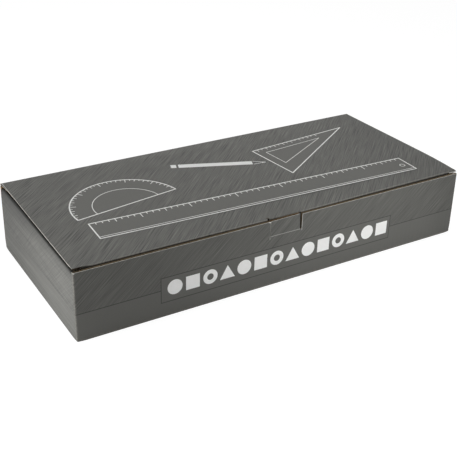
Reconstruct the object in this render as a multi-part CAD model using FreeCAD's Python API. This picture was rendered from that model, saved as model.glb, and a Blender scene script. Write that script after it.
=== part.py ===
"""A shipping carton of corrugated board, closed, with a desk whiteboard and its marker set packed inside.

The carton is folded from one blank: floor, front and back walls with corner flaps, side walls that roll
over into an inner ply, a hinged lid with a tuck flap, and a small lock tab in the front wall.
X runs along the long side, the front faces -Y, +Z is up, and the origin is the middle of the footprint.
"""
import FreeCAD, Part
import math
import os

from FreeCAD import Rotation, Vector

# Carton
carton_length = 480.0
carton_depth = 214.0
wall_height = 77.4
board_thickness = 2.8
crease_radius = 2.2
ply_gap = 0.3
side_drop = 1.4
seam_gap = 0.3
corner_flap_length = 62.0

# Tongues of the inner side walls, and their slots in the floor
tongue_width = 26.0
tongue_offset = 52.0
tongue_short = 0.4
slot_clearance = 0.3

# Lid and tuck flap
lid_side_inset = 0.6
flap_length = 24.0
flap_side_clearance = 2.0
flap_corner_radius = 9.0
swing_clearance = 0.3
lid_spring_lift = 3.0
ear_inset = 0.4
ear_root = 6.0

# Lock tab in the front wall, and the slit above it in the lid's fold
tab_width = 39.0
tab_height = 17.8
tab_centre_x = -2.2
tab_cut_gap = 0.4
slit_overrun = 1.2

# Foam end inserts
insert_thickness = 34.0
insert_socket_depth = 14.0
insert_clearance = 1.0
insert_top_clearance = 0.8
socket_clearance = 0.3
sweep_clearance = 1.5
insert_corner_radius = 3.0

# Whiteboard body
front_space = 24.0
rear_space = 24.0
headroom = 12.4
foot_height = 2.5
foot_radius = 7.0
foot_edge_radius = 0.6
foot_inset = 24.0
base_thickness = 2.5
end_cap_thickness = 3.0
end_cap_corner_radius = 2.5
rim_thickness = 2.5
rim_height = 10.0
rim_edge_radius = 1.0
ledge_width = 20.0
face_thickness = 3.0
sheet_thickness = 0.8
back_thickness = 2.5
slot_width = 13.0
slot_depth = 11.5
slot_wall = 2.5
body_gap = 0.1

# Marker lying on the ledge
marker_start_inset = 34.0
barrel_radius = 7.0
barrel_length = 88.0
plug_radius = 7.4
plug_length = 9.0
plug_spigot_radius = 4.0
plug_spigot_length = 5.0
neck_radius = 6.0
neck_length = 17.0
nose_radius = 3.2
nose_length = 8.0
nib_radius = 2.0
nib_length = 6.0
cap_radius = 7.5
cap_end_thickness = 2.4
cap_bore_clearance = 0.15
cap_tip_clearance = 2.0
cap_edge_radius = 1.2
clip_length = 30.0
clip_width = 4.6
clip_thickness = 1.5
clip_gap = 1.3
clip_root_length = 6.0
marker_lift = 0.2

# Eraser on the writing face
eraser_length = 62.0
eraser_width = 30.0
felt_thickness = 5.0
grip_thickness = 12.0
grip_corner_radius = 4.0
eraser_leaflet_gap = 41.0
eraser_up_slope = 34.0

# Magnets on the writing face
magnet_radius = 11.0
magnet_thickness = 6.0
magnet_edge_radius = 1.5
magnet_count = 3
magnet_pitch = 32.0
magnet_end_inset = 25.0
magnet_up_slope = 84.0

# Folded leaflet on the writing face
leaflet_length = 148.0
leaflet_width = 92.0
leaflet_thickness = 0.9
leaflet_end_inset = 49.0

# One overrun serves all cuts, and one share of the length tells whether two places are the same
cut_overrun = 1.0
match_share = 0.00001

# Places in the carton
half_length = carton_length / 2
back_y = carton_depth / 2
front_y = -back_y
inner_front_y = front_y + board_thickness
inner_back_y = back_y - board_thickness
floor_top = board_thickness
side_top = wall_height - side_drop
side_stack = 3 * board_thickness + 2 * ply_gap
inner_half_length = half_length - side_stack
lid_top = wall_height + board_thickness

# The lid is short enough for the tip of its tuck flap to swing up past the front wall, and its crease
# springs its front edge up a little, about the rear crease
tip_radius = carton_depth - board_thickness - swing_clearance
lid_reach = math.sqrt(tip_radius ** 2 - flap_length ** 2)
lid_front_y = back_y - lid_reach
lid_spring_angle = math.degrees(math.asin(lid_spring_lift / lid_reach))
flap_inner_y = lid_front_y + board_thickness
flap_half_width = inner_half_length - flap_side_clearance

# Places in the whiteboard
board_end_x = inner_half_length - insert_clearance - insert_thickness + insert_socket_depth
body_end_x = board_end_x - end_cap_thickness
rim_front_y = inner_front_y + front_space
body_back_y = inner_back_y - rear_space
base_bottom = floor_top + foot_height
ledge_z = base_bottom + base_thickness
board_top = wall_height - headroom
ledge_back_y = rim_front_y + rim_thickness + ledge_width
slot_back_y = body_back_y - back_thickness
slot_front_y = slot_back_y - slot_width
channel_front_y = slot_front_y - slot_wall
slot_floor_z = board_top - slot_depth
face_run = channel_front_y - ledge_back_y
face_rise = board_top - ledge_z
slope_angle = math.degrees(math.atan2(face_rise, face_run))
slope_length = math.hypot(face_run, face_rise)
leaflet_start_x = -body_end_x + leaflet_end_inset
eraser_start_x = leaflet_start_x + leaflet_length + eraser_leaflet_gap

X_AXIS = Vector(1, 0, 0)
Y_AXIS = Vector(0, 1, 0)
Z_AXIS = Vector(0, 0, 1)


def block(x_span, y_span, z_span):
    """A box between two corners, given as three spans."""
    corner = Vector(x_span[0], y_span[0], z_span[0])
    return Part.makeBox(x_span[1] - x_span[0], y_span[1] - y_span[0], z_span[1] - z_span[0], corner)


def prism_along_x(outline, x_span):
    """A solid with the (y, z) outline, from one end of the x span to the other."""
    points = [Vector(x_span[0], y, z) for y, z in outline]
    face = Part.Face(Part.makePolygon(points + points[:1]))
    return face.extrude(Vector(x_span[1] - x_span[0], 0, 0))


def rod_along_x(radius, x_start, length, centre):
    """A round rod along X, with its axis at the (y, z) centre."""
    return Part.makeCylinder(radius, length, Vector(x_start, centre[0], centre[1]), X_AXIS)


def mirrored(shape):
    """The same piece on the other side of the carton's middle."""
    return shape.mirror(Vector(0, 0, 0), X_AXIS)


def rounded(shape, radius, chosen):
    """The shape with the straight edges that the test picks by their middle and direction rounded."""
    edges = []
    for edge in shape.Edges:
        middle = edge.valueAt((edge.FirstParameter + edge.LastParameter) / 2)
        direction = edge.tangentAt(edge.FirstParameter)
        if chosen(middle, direction):
            edges.append(edge)
    return shape.makeFillet(radius, edges)


def along(direction, axis):
    """True if an edge's direction lies along the axis."""
    return direction.cross(axis).Length < match_share * direction.Length


def near(value, place):
    """True if a coordinate lies at the place."""
    return abs(value - place) < match_share * carton_length


def sprung_open(shape):
    """A piece of the lid, turned up about the rear crease as far as the closed lid springs."""
    turned = shape.copy()
    turned.rotate(Vector(0, back_y, wall_height), X_AXIS, -lid_spring_angle)
    return turned


def on_slope(shape, x_place, up_slope, lift):
    """A piece made flat at the origin, laid on the writing face at a place up its slope."""
    tilt = Rotation(X_AXIS, slope_angle)
    foot = Vector(x_place, ledge_back_y, ledge_z)
    place = foot + tilt.multVec(Vector(0, up_slope, lift))
    laid = shape.copy()
    laid.Placement = FreeCAD.Placement(place, tilt)
    return laid


def save(name, shape):
    """Writes one piece as a STEP file named after it."""
    if not shape.isValid():
        raise ValueError("the shape of " + name + " isn't valid")
    shape.exportStep("parts/" + name + ".step")
    print(name, len(shape.Solids), "solids,", round(shape.Volume), "cubic mm")


# Carton floor with slots for the tongues
def tongue_places():
    """The y spans of the two tongues of a side."""
    half = tongue_width / 2
    return [(y - half, y + half) for y in (-tongue_offset, tongue_offset)]


def floor_panel():
    panel = block((-half_length, half_length), (front_y, back_y), (0, floor_top))
    panel = rounded(panel, crease_radius, lambda at, way: at.z < floor_top or along(way, Z_AXIS))
    slots = []
    for low_y, high_y in tongue_places():
        slot = block(
            (inner_half_length - slot_clearance, inner_half_length + board_thickness + slot_clearance),
            (low_y - slot_clearance, high_y + slot_clearance),
            (-cut_overrun, floor_top + cut_overrun),
        )
        slots += [slot, mirrored(slot)]
    return panel.cut(Part.makeCompound(slots))


# Front and back walls
def upright_wall(outer_y, inner_y):
    """A full-width wall with its two outer upright edges rounded as creases."""
    y_span = (min(outer_y, inner_y), max(outer_y, inner_y))
    wall = block((-half_length, half_length), y_span, (floor_top, wall_height))
    return rounded(wall, crease_radius, lambda at, way: along(way, Z_AXIS) and near(at.y, outer_y))


def front_wall():
    reach = tab_width / 2 + tab_cut_gap
    window = block(
        (tab_centre_x - reach, tab_centre_x + reach),
        (front_y - cut_overrun, inner_front_y + cut_overrun),
        (wall_height - tab_height, wall_height + cut_overrun),
    )
    return upright_wall(front_y, inner_front_y).cut(window)


def lock_tab():
    half = tab_width / 2
    return block(
        (tab_centre_x - half, tab_centre_x + half),
        (front_y, inner_front_y),
        (wall_height - tab_height, wall_height),
    )


# Side walls: outer ply, folded top and inner ply with its tongues
def side_outer_wall():
    return block(
        (half_length - board_thickness, half_length),
        (inner_front_y + seam_gap, inner_back_y - seam_gap),
        (floor_top, side_top - board_thickness),
    )


def side_top_fold():
    fold = block(
        (inner_half_length, half_length),
        (inner_front_y + seam_gap, inner_back_y - seam_gap),
        (side_top - board_thickness, side_top),
    )
    return rounded(fold, crease_radius, lambda at, way: along(way, Y_AXIS) and near(at.z, side_top))


def side_inner_wall():
    wall = block(
        (inner_half_length, inner_half_length + board_thickness),
        (inner_front_y + seam_gap, inner_back_y - seam_gap),
        (floor_top, side_top - board_thickness),
    )
    tongues = [
        block((inner_half_length, inner_half_length + board_thickness), y_span, (tongue_short, floor_top))
        for y_span in tongue_places()
    ]
    return wall.fuse(tongues).removeSplitter()


# Corner flaps between the two plies of a side
def corner_flap(wall_y, inward):
    low_x = half_length - 2 * board_thickness - ply_gap
    ends = sorted((wall_y, wall_y + inward * corner_flap_length))
    return block(
        (low_x, low_x + board_thickness),
        (ends[0], ends[1]),
        (floor_top + ply_gap, side_top - board_thickness - ply_gap),
    )


# Lid and its tuck flap
def lid_panel():
    """The lid, with an ear at each end of its front that lies over the front wall's top edge."""
    reach_x = half_length - lid_side_inset
    panel = block((-reach_x, reach_x), (lid_front_y, back_y), (wall_height, lid_top))
    panel = rounded(panel, crease_radius, lambda at, way: along(way, X_AXIS) and near(at.z, lid_top))
    ear = block(
        (flap_half_width, reach_x),
        (front_y + ear_inset, lid_front_y + ear_root),
        (wall_height, lid_top),
    )
    panel = panel.fuse([ear, mirrored(ear)]).removeSplitter()
    slit_half = tab_width / 2 + tab_cut_gap + slit_overrun
    slit = block(
        (tab_centre_x - slit_half, tab_centre_x + slit_half),
        (lid_front_y - cut_overrun, flap_inner_y),
        (wall_height - cut_overrun, lid_top + cut_overrun),
    )
    return sprung_open(panel.cut(slit))


def tuck_flap():
    flap = block(
        (-flap_half_width, flap_half_width),
        (lid_front_y, flap_inner_y),
        (wall_height - flap_length, wall_height),
    )
    tip_z = wall_height - flap_length
    flap = rounded(flap, flap_corner_radius, lambda at, way: along(way, Y_AXIS) and near(at.z, tip_z))
    return sprung_open(flap)


# Whiteboard body
def end_outline(grow):
    """The whiteboard's section as (y, z) corners, grown outwards by an amount."""
    steep = math.radians(slope_angle)
    rim_z = ledge_z + rim_height
    face_foot_y = ledge_back_y + rim_height / math.tan(steep)
    shift = grow * math.tan(steep / 2)
    return [
        (rim_front_y - grow, base_bottom - grow),
        (rim_front_y - grow, rim_z + grow),
        (face_foot_y - shift, rim_z + grow),
        (channel_front_y - shift, board_top + grow),
        (body_back_y + grow, board_top + grow),
        (body_back_y + grow, base_bottom - grow),
    ]


def base_plate():
    return block((-body_end_x, body_end_x), (rim_front_y, body_back_y), (base_bottom, ledge_z))


def ledge_rim():
    rim_z = ledge_z + rim_height
    rim = block((-body_end_x, body_end_x), (rim_front_y, rim_front_y + rim_thickness), (ledge_z, rim_z))
    return rounded(rim, rim_edge_radius, lambda at, way: along(way, X_AXIS) and near(at.z, rim_z))


def face_core():
    """The sloping plate under the writing sheet, cut level at its foot and upright at its head."""
    steep = math.radians(slope_angle)
    under = sheet_thickness / math.cos(steep)
    below = (sheet_thickness + face_thickness) / math.cos(steep)
    foot_shift = under / math.tan(steep)
    low_shift = below / math.tan(steep)
    return prism_along_x(
        [
            (ledge_back_y + foot_shift, ledge_z),
            (channel_front_y, board_top - under),
            (channel_front_y, board_top - below),
            (ledge_back_y + low_shift, ledge_z),
        ],
        (-body_end_x, body_end_x),
    )


def writing_sheet():
    steep = math.radians(slope_angle)
    under = sheet_thickness / math.cos(steep)
    return prism_along_x(
        [
            (ledge_back_y, ledge_z),
            (channel_front_y, board_top),
            (channel_front_y, board_top - under),
            (ledge_back_y + under / math.tan(steep), ledge_z),
        ],
        (-body_end_x, body_end_x),
    )


def back_plate():
    return block((-body_end_x, body_end_x), (slot_back_y, body_back_y), (ledge_z, board_top))


def top_channel():
    """Floor and front wall of the long slot along the top, whose rear wall is the back plate."""
    x_span = (-body_end_x, body_end_x)
    floor_z = slot_floor_z - slot_wall
    bottom = block(x_span, (channel_front_y, slot_back_y), (floor_z, slot_floor_z))
    front = block(x_span, (channel_front_y, slot_front_y), (slot_floor_z, board_top))
    return bottom.fuse(front).removeSplitter()


def end_cap():
    cap = prism_along_x(end_outline(0), (body_end_x, board_end_x))
    return rounded(cap, end_cap_corner_radius, lambda at, way: along(way, X_AXIS) and at.z > ledge_z)


def feet():
    pads = []
    for x in (-1, 1):
        for y in (rim_front_y + foot_inset, body_back_y - foot_inset):
            centre = Vector(x * (body_end_x - foot_inset), y, floor_top)
            pad = Part.makeCylinder(foot_radius, foot_height, centre, Z_AXIS)
            rim = [edge for edge in pad.Edges if near(edge.BoundBox.ZMax, floor_top)]
            pads.append(pad.makeFillet(foot_edge_radius, rim))
    return Part.makeCompound(pads)


# Foam insert with a socket for the whiteboard's end
def end_insert():
    """A foam block with a sloped front corner that stays clear of the tuck flap as it folds inwards."""
    low_y = inner_front_y + insert_clearance
    high_y = inner_back_y - insert_clearance
    top_z = side_top - insert_top_clearance
    sweep = math.hypot(flap_length, board_thickness) + sweep_clearance
    shift = sweep * math.sqrt(2)
    corner_y = flap_inner_y + (top_z - wall_height) + shift
    corner_z = wall_height + (low_y - flap_inner_y) - shift
    outer_x = inner_half_length - insert_clearance
    inner_x = outer_x - insert_thickness
    outline = [(low_y, floor_top), (low_y, corner_z), (corner_y, top_z), (high_y, top_z), (high_y, floor_top)]
    foam = prism_along_x(outline, (inner_x, outer_x))
    foam = rounded(foam, insert_corner_radius, lambda at, way: along(way, X_AXIS) and at.z > floor_top)
    socket_x = board_end_x + socket_clearance
    return foam.cut(prism_along_x(end_outline(socket_clearance), (inner_x - cut_overrun, socket_x)))


# Marker on the ledge, its cap pointing to +X
marker_axis = (rim_front_y + rim_thickness + ledge_width / 2, ledge_z + cap_radius + marker_lift)
marker_start_x = -body_end_x + marker_start_inset
barrel_start_x = marker_start_x + plug_length
barrel_end_x = barrel_start_x + barrel_length
neck_end_x = barrel_end_x + neck_length
nose_end_x = neck_end_x + nose_length
cap_bore_end_x = nose_end_x + nib_length + cap_tip_clearance
cap_end_x = cap_bore_end_x + cap_end_thickness


def marker_barrel():
    """The barrel, its neck under the cap and its tapered nose, with a blind hole for the end plug."""
    body = rod_along_x(barrel_radius, barrel_start_x, barrel_length, marker_axis)
    neck = rod_along_x(neck_radius, barrel_end_x, neck_length, marker_axis)
    nose_base = Vector(neck_end_x, marker_axis[0], marker_axis[1])
    nose = Part.makeCone(neck_radius, nose_radius, nose_length, nose_base, X_AXIS)
    hole_depth = plug_spigot_length + body_gap
    hole = rod_along_x(plug_spigot_radius + body_gap, barrel_start_x, hole_depth, marker_axis)
    return body.fuse([neck, nose]).cut(hole)


def marker_end_plug():
    head = rod_along_x(plug_radius, marker_start_x, plug_length, marker_axis)
    outer_rim = [edge for edge in head.Edges if near(edge.BoundBox.XMax, marker_start_x)]
    spigot = rod_along_x(plug_spigot_radius, barrel_start_x, plug_spigot_length, marker_axis)
    return head.makeFillet(cap_edge_radius, outer_rim).fuse(spigot)


def marker_nib():
    return rod_along_x(nib_radius, nose_end_x, nib_length, marker_axis)


def marker_cap():
    """A hollow cap with a closed, rounded end and a clip on top."""
    shell = rod_along_x(cap_radius, barrel_end_x, cap_end_x - barrel_end_x, marker_axis)
    end_rim = [edge for edge in shell.Edges if near(edge.BoundBox.XMin, cap_end_x)]
    shell = shell.makeFillet(cap_edge_radius, end_rim)
    bore = rod_along_x(neck_radius + cap_bore_clearance, barrel_end_x - cut_overrun,
                       cap_bore_end_x - barrel_end_x + cut_overrun, marker_axis)
    clip_bottom = marker_axis[1] + cap_radius + clip_gap
    clip_y = (marker_axis[0] - clip_width / 2, marker_axis[0] + clip_width / 2)
    clip_end_x = cap_end_x - cap_edge_radius
    arm = block((clip_end_x - clip_length, clip_end_x), clip_y, (clip_bottom, clip_bottom + clip_thickness))
    root = block((clip_end_x - clip_root_length, clip_end_x), clip_y, (marker_axis[1] + neck_radius
                 + cap_bore_clearance + clip_gap / 2, clip_bottom))
    return shell.fuse([arm, root]).cut(bore).removeSplitter()


# Eraser, magnets and leaflet on the writing face
def eraser_pad(thickness, lift, top_radius):
    """A block of the eraser's length and width, its upper edges rounded where a radius is given."""
    half_x = eraser_length / 2
    half_y = eraser_width / 2
    pad = block((-half_x, half_x), (-half_y, half_y), (0, thickness))
    pad = rounded(pad, grip_corner_radius, lambda at, way: along(way, Z_AXIS))
    if top_radius > 0:
        top_edges = [edge for edge in pad.Edges if near(edge.BoundBox.ZMin, thickness)]
        pad = pad.makeFillet(top_radius, top_edges)
    return on_slope(pad, eraser_start_x + half_x, eraser_up_slope, lift)


def magnets():
    discs = []
    for index in range(magnet_count):
        disc = Part.makeCylinder(magnet_radius, magnet_thickness)
        top_rim = [edge for edge in disc.Edges if near(edge.BoundBox.ZMin, magnet_thickness)]
        disc = disc.makeFillet(magnet_edge_radius, top_rim)
        place_x = body_end_x - magnet_end_inset - index * magnet_pitch
        discs.append(on_slope(disc, place_x, magnet_up_slope, 0))
    return Part.makeCompound(discs)


def leaflet():
    half_x = leaflet_length / 2
    half_y = leaflet_width / 2
    sheet = block((-half_x, half_x), (-half_y, half_y), (0, leaflet_thickness))
    return on_slope(sheet, leaflet_start_x + half_x, slope_length / 2, 0)


def main():
    os.makedirs("parts", exist_ok=True)

    save("bottom_panel", floor_panel())
    save("front_wall", front_wall())
    save("back_wall", upright_wall(back_y, inner_back_y))
    save("front_lock_tab", lock_tab())
    save("lid_panel", lid_panel())
    save("lid_tuck_flap", tuck_flap())

    sided = {
        "side_wall_outer": side_outer_wall(),
        "side_wall_top_fold": side_top_fold(),
        "side_wall_inner": side_inner_wall(),
        "corner_flap_front": corner_flap(inner_front_y, 1),
        "corner_flap_back": corner_flap(inner_back_y, -1),
        "end_insert": end_insert(),
        "whiteboard_end_cap": end_cap(),
    }
    for name, shape in sided.items():
        save(name + "_right", shape)
        save(name + "_left", mirrored(shape))

    save("whiteboard_base_plate", base_plate())
    save("whiteboard_ledge_rim", ledge_rim())
    save("whiteboard_face_core", face_core())
    save("whiteboard_writing_sheet", writing_sheet())
    save("whiteboard_back_plate", back_plate())
    save("whiteboard_top_channel", top_channel())
    save("whiteboard_feet", feet())

    save("marker_barrel", marker_barrel())
    save("marker_end_plug", marker_end_plug())
    save("marker_nib", marker_nib())
    save("marker_cap", marker_cap())
    save("eraser_felt", eraser_pad(felt_thickness, 0, 0))
    save("eraser_grip", eraser_pad(grip_thickness, felt_thickness, grip_corner_radius / 2))
    save("board_magnets", magnets())
    save("leaflet", leaflet())

    print("lid hinge y", back_y, "z", wall_height)
    print("lid front y", round(lid_front_y, 3), "springs up by", round(lid_spring_angle, 3), "degrees")
    print("whiteboard slope", round(slope_angle, 2), "ends at", board_end_x, "top", board_top)


main()
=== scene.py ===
"""A printed carton of corrugated board with a desk whiteboard and its marker set packed inside.

Sizes and places are in millimetres in the carton's frame, and each finished mesh is scaled to metres.
"""
import logging
import math
from dataclasses import dataclass
from enum import Enum
from functools import reduce
from typing import Callable, Dict, Iterable, List, Optional, Sequence, Tuple, Union

import bmesh
import bpy
from mathutils import Matrix, Vector


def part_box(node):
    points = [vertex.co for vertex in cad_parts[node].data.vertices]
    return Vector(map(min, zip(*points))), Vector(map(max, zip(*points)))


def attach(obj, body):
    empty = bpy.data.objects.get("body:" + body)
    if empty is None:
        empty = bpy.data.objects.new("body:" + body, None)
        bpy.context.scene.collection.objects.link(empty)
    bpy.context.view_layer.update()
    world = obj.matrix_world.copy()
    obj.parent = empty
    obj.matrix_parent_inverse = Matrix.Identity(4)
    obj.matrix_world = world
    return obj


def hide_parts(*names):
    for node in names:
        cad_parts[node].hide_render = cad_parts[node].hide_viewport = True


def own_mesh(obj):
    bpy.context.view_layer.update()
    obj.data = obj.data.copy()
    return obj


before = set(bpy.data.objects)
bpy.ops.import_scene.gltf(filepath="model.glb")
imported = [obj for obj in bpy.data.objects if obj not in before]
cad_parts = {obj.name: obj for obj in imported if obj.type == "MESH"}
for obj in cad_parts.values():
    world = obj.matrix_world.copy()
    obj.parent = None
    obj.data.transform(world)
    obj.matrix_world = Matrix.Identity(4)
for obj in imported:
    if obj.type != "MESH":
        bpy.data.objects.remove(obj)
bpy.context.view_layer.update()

logging.basicConfig(level=logging.INFO, format="%(message)s")
LOG = logging.getLogger("carton")

MM = 0.001
TOUCH = 1e-4
FAR = 300.0
BOTH = (-1, 1)
Pair = Tuple[float, float]
Triple = Tuple[float, float, float]
Box = Tuple[Triple, Triple]
Cut = Tuple[int, float]
TickSteps = Tuple[Tuple[int, float], ...]
EVERYWHERE = (-FAR, FAR)


@dataclass(frozen=True)
class CartonSize:
    """The sizes that the carton's panels, bends and print share."""

    half_length: float = 240.0
    half_depth: float = 107.0
    wall_height: float = 77.4
    board: float = 2.8
    flute_pitch: float = 6.25
    side_stack: float = 9.0
    side_shade_top: float = 75.6
    lid_front: float = -102.33
    lid_left: float = 239.4
    lid_right: float = 239.9
    flap_half: float = 229.0
    flap_length: float = 24.0
    tab_centre: float = -2.2
    tab_half: float = 19.5
    tab_gap: float = 0.4
    tab_height: float = 17.8
    band_top: float = 31.5
    title_frame: Tuple[float, float, float, float] = (-149.6, 141.8, 17.1, 45.5)

    @property
    def lid_top(self) -> float:
        """Height of the closed lid's upper face."""
        return self.wall_height + self.board

    @property
    def tab_foot(self) -> float:
        """Height of the lock tab's crease."""
        return self.wall_height - self.tab_height

    @property
    def tab_window(self) -> Pair:
        """The two cuts beside the lock tab."""
        reach = self.tab_half + self.tab_gap
        return self.tab_centre - reach, self.tab_centre + reach


SIZE = CartonSize()


# Shader maths
def maths(operation: str, reflected: bool = False) -> Callable[..., "Wire"]:
    """A method of Wire that adds a Math node.

    Args:
        operation: The node's operation.
        reflected: Whether the wire itself is the last input.

    Returns:
        The method, which takes the other inputs and returns the node's result.
    """
    def method(self: "Wire", *others: "Value") -> "Wire":
        """The node's result."""
        values = (*others, self) if reflected else (self, *others)
        return self.bench.wire("ShaderNodeMath", dict(enumerate(values)), operation=operation)

    return method


class Wire:
    """An output of a node, with sums and products written as Python expressions.

    The rest after a division is never negative. lower and higher give the lesser and the greater of two.
    """

    __add__ = __radd__ = maths("ADD")
    __mul__ = __rmul__ = maths("MULTIPLY")
    __sub__ = maths("SUBTRACT")
    __rsub__ = maths("SUBTRACT", reflected=True)
    __truediv__ = maths("DIVIDE")
    __mod__ = maths("FLOORED_MODULO")
    __abs__ = maths("ABSOLUTE")
    sine = maths("SINE")
    root = maths("SQRT")
    lower = maths("MINIMUM")
    higher = maths("MAXIMUM")

    def __init__(self, bench: "Bench", socket: bpy.types.NodeSocket) -> None:
        """Keeps the bench that new nodes go on and the socket that is read."""
        self.bench = bench
        self.socket = socket

    def distance(self, other: "Wire") -> "Wire":
        """Length of the two coordinates' vector."""
        return (self * self + other * other).root()

    def ramp(self, low: float, high: float) -> "Wire":
        """Goes smoothly from 0 at the low value to 1 at the high one."""
        return self.bench.wire("ShaderNodeMapRange", {"Value": self, "From Min": low, "From Max": high},
                               interpolation_type="SMOOTHSTEP")

    def between(self, low: float, high: float, soft: float) -> "Wire":
        """1 from the low value to the high one and 0 beyond, with soft ends."""
        return (self - low).ramp(-soft, soft) * (1.0 - (self - high).ramp(-soft, soft))


Value = Union[float, Wire]
Colour = Union[Triple, Wire]
Inputs = Dict[Union[str, int], object]
Look = Dict[str, object]


def highest(wires: Sequence[Wire]) -> Wire:
    """The greatest of several."""
    return reduce(Wire.higher, wires)


def turned(u: Value, v: Value, angle: float) -> Tuple[Value, Value]:
    """Two coordinates, read along and across a direction at the angle in radians."""
    c, s = math.cos(angle), math.sin(angle)
    return u * c + v * s, v * c - u * s


class Bench:
    """The node tree of a material or a world, and the calls that the finishes use on it."""

    def __init__(self, owner: Union[bpy.types.Material, bpy.types.World]) -> None:
        """Empties the owner's node tree."""
        owner.use_nodes = True
        self.owner = owner
        self.tree = owner.node_tree
        self.tree.nodes.clear()
        self.place: List[Wire] = []
        self.where: Optional[Wire] = None

    def node(self, kind: str, inputs: Inputs, **settings: object) -> bpy.types.Node:
        """Adds one node.

        Args:
            kind: The node's type.
            inputs: Values or wires by socket name or number.
            settings: Its properties, set before its inputs.

        Returns:
            The node.
        """
        made = self.tree.nodes.new(kind)
        for key, setting in settings.items():
            setattr(made, key, setting)
        for key, value in inputs.items():
            socket = made.inputs[key]
            if isinstance(value, Wire):
                self.tree.links.new(value.socket, socket)
            elif isinstance(value, tuple) and len(socket.default_value) > len(value):
                socket.default_value = (*value, 1.0)
            else:
                socket.default_value = value
        return made

    def wire(self, kind: str, inputs: Inputs, output: Union[str, int] = 0, **settings: object) -> Wire:
        """One output of a new node."""
        return Wire(self, self.node(kind, inputs, **settings).outputs[output])

    def locate(self) -> None:
        """Reads the point's object coordinates in millimetres, as three wires and as one vector."""
        where = self.wire("ShaderNodeTexCoord", {}, "Object")
        self.place = [Wire(self, out) * (1 / MM) for out in self.node("ShaderNodeSeparateXYZ", {0: where}).outputs]
        self.where = self.point(*self.place)

    def point(self, x: Value, y: Value, z: Value) -> Wire:
        """A vector from three values."""
        return self.wire("ShaderNodeCombineXYZ", {0: x, 1: y, 2: z})

    def noise(self, where: Wire, scale: float = 1.0, detail: float = 2.0, roughness: float = 0.5) -> Wire:
        """Smooth noise from 0 to 1, with so many grains to a unit, and finer layers of some strength."""
        inputs = {"Vector": where, "Scale": scale, "Detail": detail, "Roughness": roughness}
        return self.wire("ShaderNodeTexNoise", inputs, noise_dimensions="3D")

    def washboard(self, axis: int) -> Wire:
        """The wave of the flutes along an axis, from -1 to 1."""
        return (self.place[axis] * (2 * math.pi / SIZE.flute_pitch)).sine()

    def cells(self, where: Wire, scale: float, feature: str = "F1") -> Wire:
        """Distance to the nearest of many scattered points, or between cells."""
        return self.wire("ShaderNodeTexVoronoi", {"Vector": where, "Scale": scale}, "Distance", feature=feature)

    def mix(self, share: Value, first: Colour, second: Colour) -> Wire:
        """Goes from the first colour to the second as the share goes from 0 to 1."""
        return self.wire("ShaderNodeMix", {0: share, 6: first, 7: second}, 2, data_type="RGBA")

    def shaded(self, colour: Colour, level: Value) -> Wire:
        """The colour made darker or lighter by a factor."""
        return self.wire("ShaderNodeVectorMath", {0: colour, "Scale": level}, operation="SCALE")

    def bump(self, height: Wire, depth: float, under: Optional[Wire] = None) -> Wire:
        """Turns a height from 0 to 1 into a slope of the surface.

        Args:
            height: The height.
            depth: How many millimetres 1 stands for.
            under: A slope to add to.

        Returns:
            The normal.
        """
        inputs: Inputs = {"Height": height, "Distance": depth * MM, "Strength": 1.0}
        if under is not None:
            inputs["Normal"] = under
        return self.wire("ShaderNodeBump", inputs)

    def end(self, kind: str, shader: Wire) -> None:
        """Leads the shader to the tree's output node."""
        self.node(kind, {0: shader})


def srgb(red: float, green: float, blue: float) -> Triple:
    """A colour given in 0 to 255 screen levels, as light."""
    levels = (channel / 255 for channel in (red, green, blue))
    return tuple(c / 12.92 if c <= 0.04045 else ((c + 0.055) / 1.055) ** 2.4 for c in levels)


@dataclass(frozen=True)
class Finish:
    """A material of one main colour, to which each kind adds its own grain."""

    name: str
    colour: Triple

    def build(self) -> bpy.types.Material:
        """Makes the material."""
        bench = Bench(bpy.data.materials.new(self.name))
        bench.locate()
        look = {key.replace("_", " "): value for key, value in self.look(bench).items()}
        bench.end("ShaderNodeOutputMaterial", bench.wire("ShaderNodeBsdfPrincipled", look))
        return bench.owner

    def look(self, bench: Bench) -> Look:
        """What the surface shader is given.

        Args:
            bench: The material's nodes.

        Returns:
            Values and wires by name, with _ for a space.
        """
        raise NotImplementedError(self.name)


# Finishes of the carton
class Plane(Enum):
    """Which two coordinates a printed sheet lies in."""

    LEVEL = (0, 1)
    WALL = (0, 2)
    END = (1, 2)


@dataclass(frozen=True)
class ToolField:
    """A drawn tool's place on the lid, and its inside, which the brushed pattern leaves out.

    It is a box, a box with one corner cut, or where it has a round radius a half disc.
    """

    centre: Pair
    turn: float
    half: Pair = (0.0, 0.0)
    cut_corner: bool = False
    corner_share: float = 0.8
    round_radius: float = 0.0
    soft: float = 0.25

    def at(self, u: float, v: float) -> Pair:
        """A point of the tool, as a point of the lid."""
        x, y = turned(u, v, -self.turn)
        return self.centre[0] + x, self.centre[1] + y

    def mask(self, u: Wire, v: Wire) -> Wire:
        """1 inside the patch and 0 outside it."""
        along, across = turned(u - self.centre[0], v - self.centre[1], self.turn)
        if self.round_radius:
            inside = (self.round_radius - along.distance(across)).lower(across)
        else:
            inside = (self.half[0] - abs(along)).lower(self.half[1] - abs(across))
        if self.cut_corner:
            inside = inside.lower((across - along * (self.half[1] / self.half[0])) * self.corner_share)
        return inside.ramp(-self.soft, self.soft)


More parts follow.
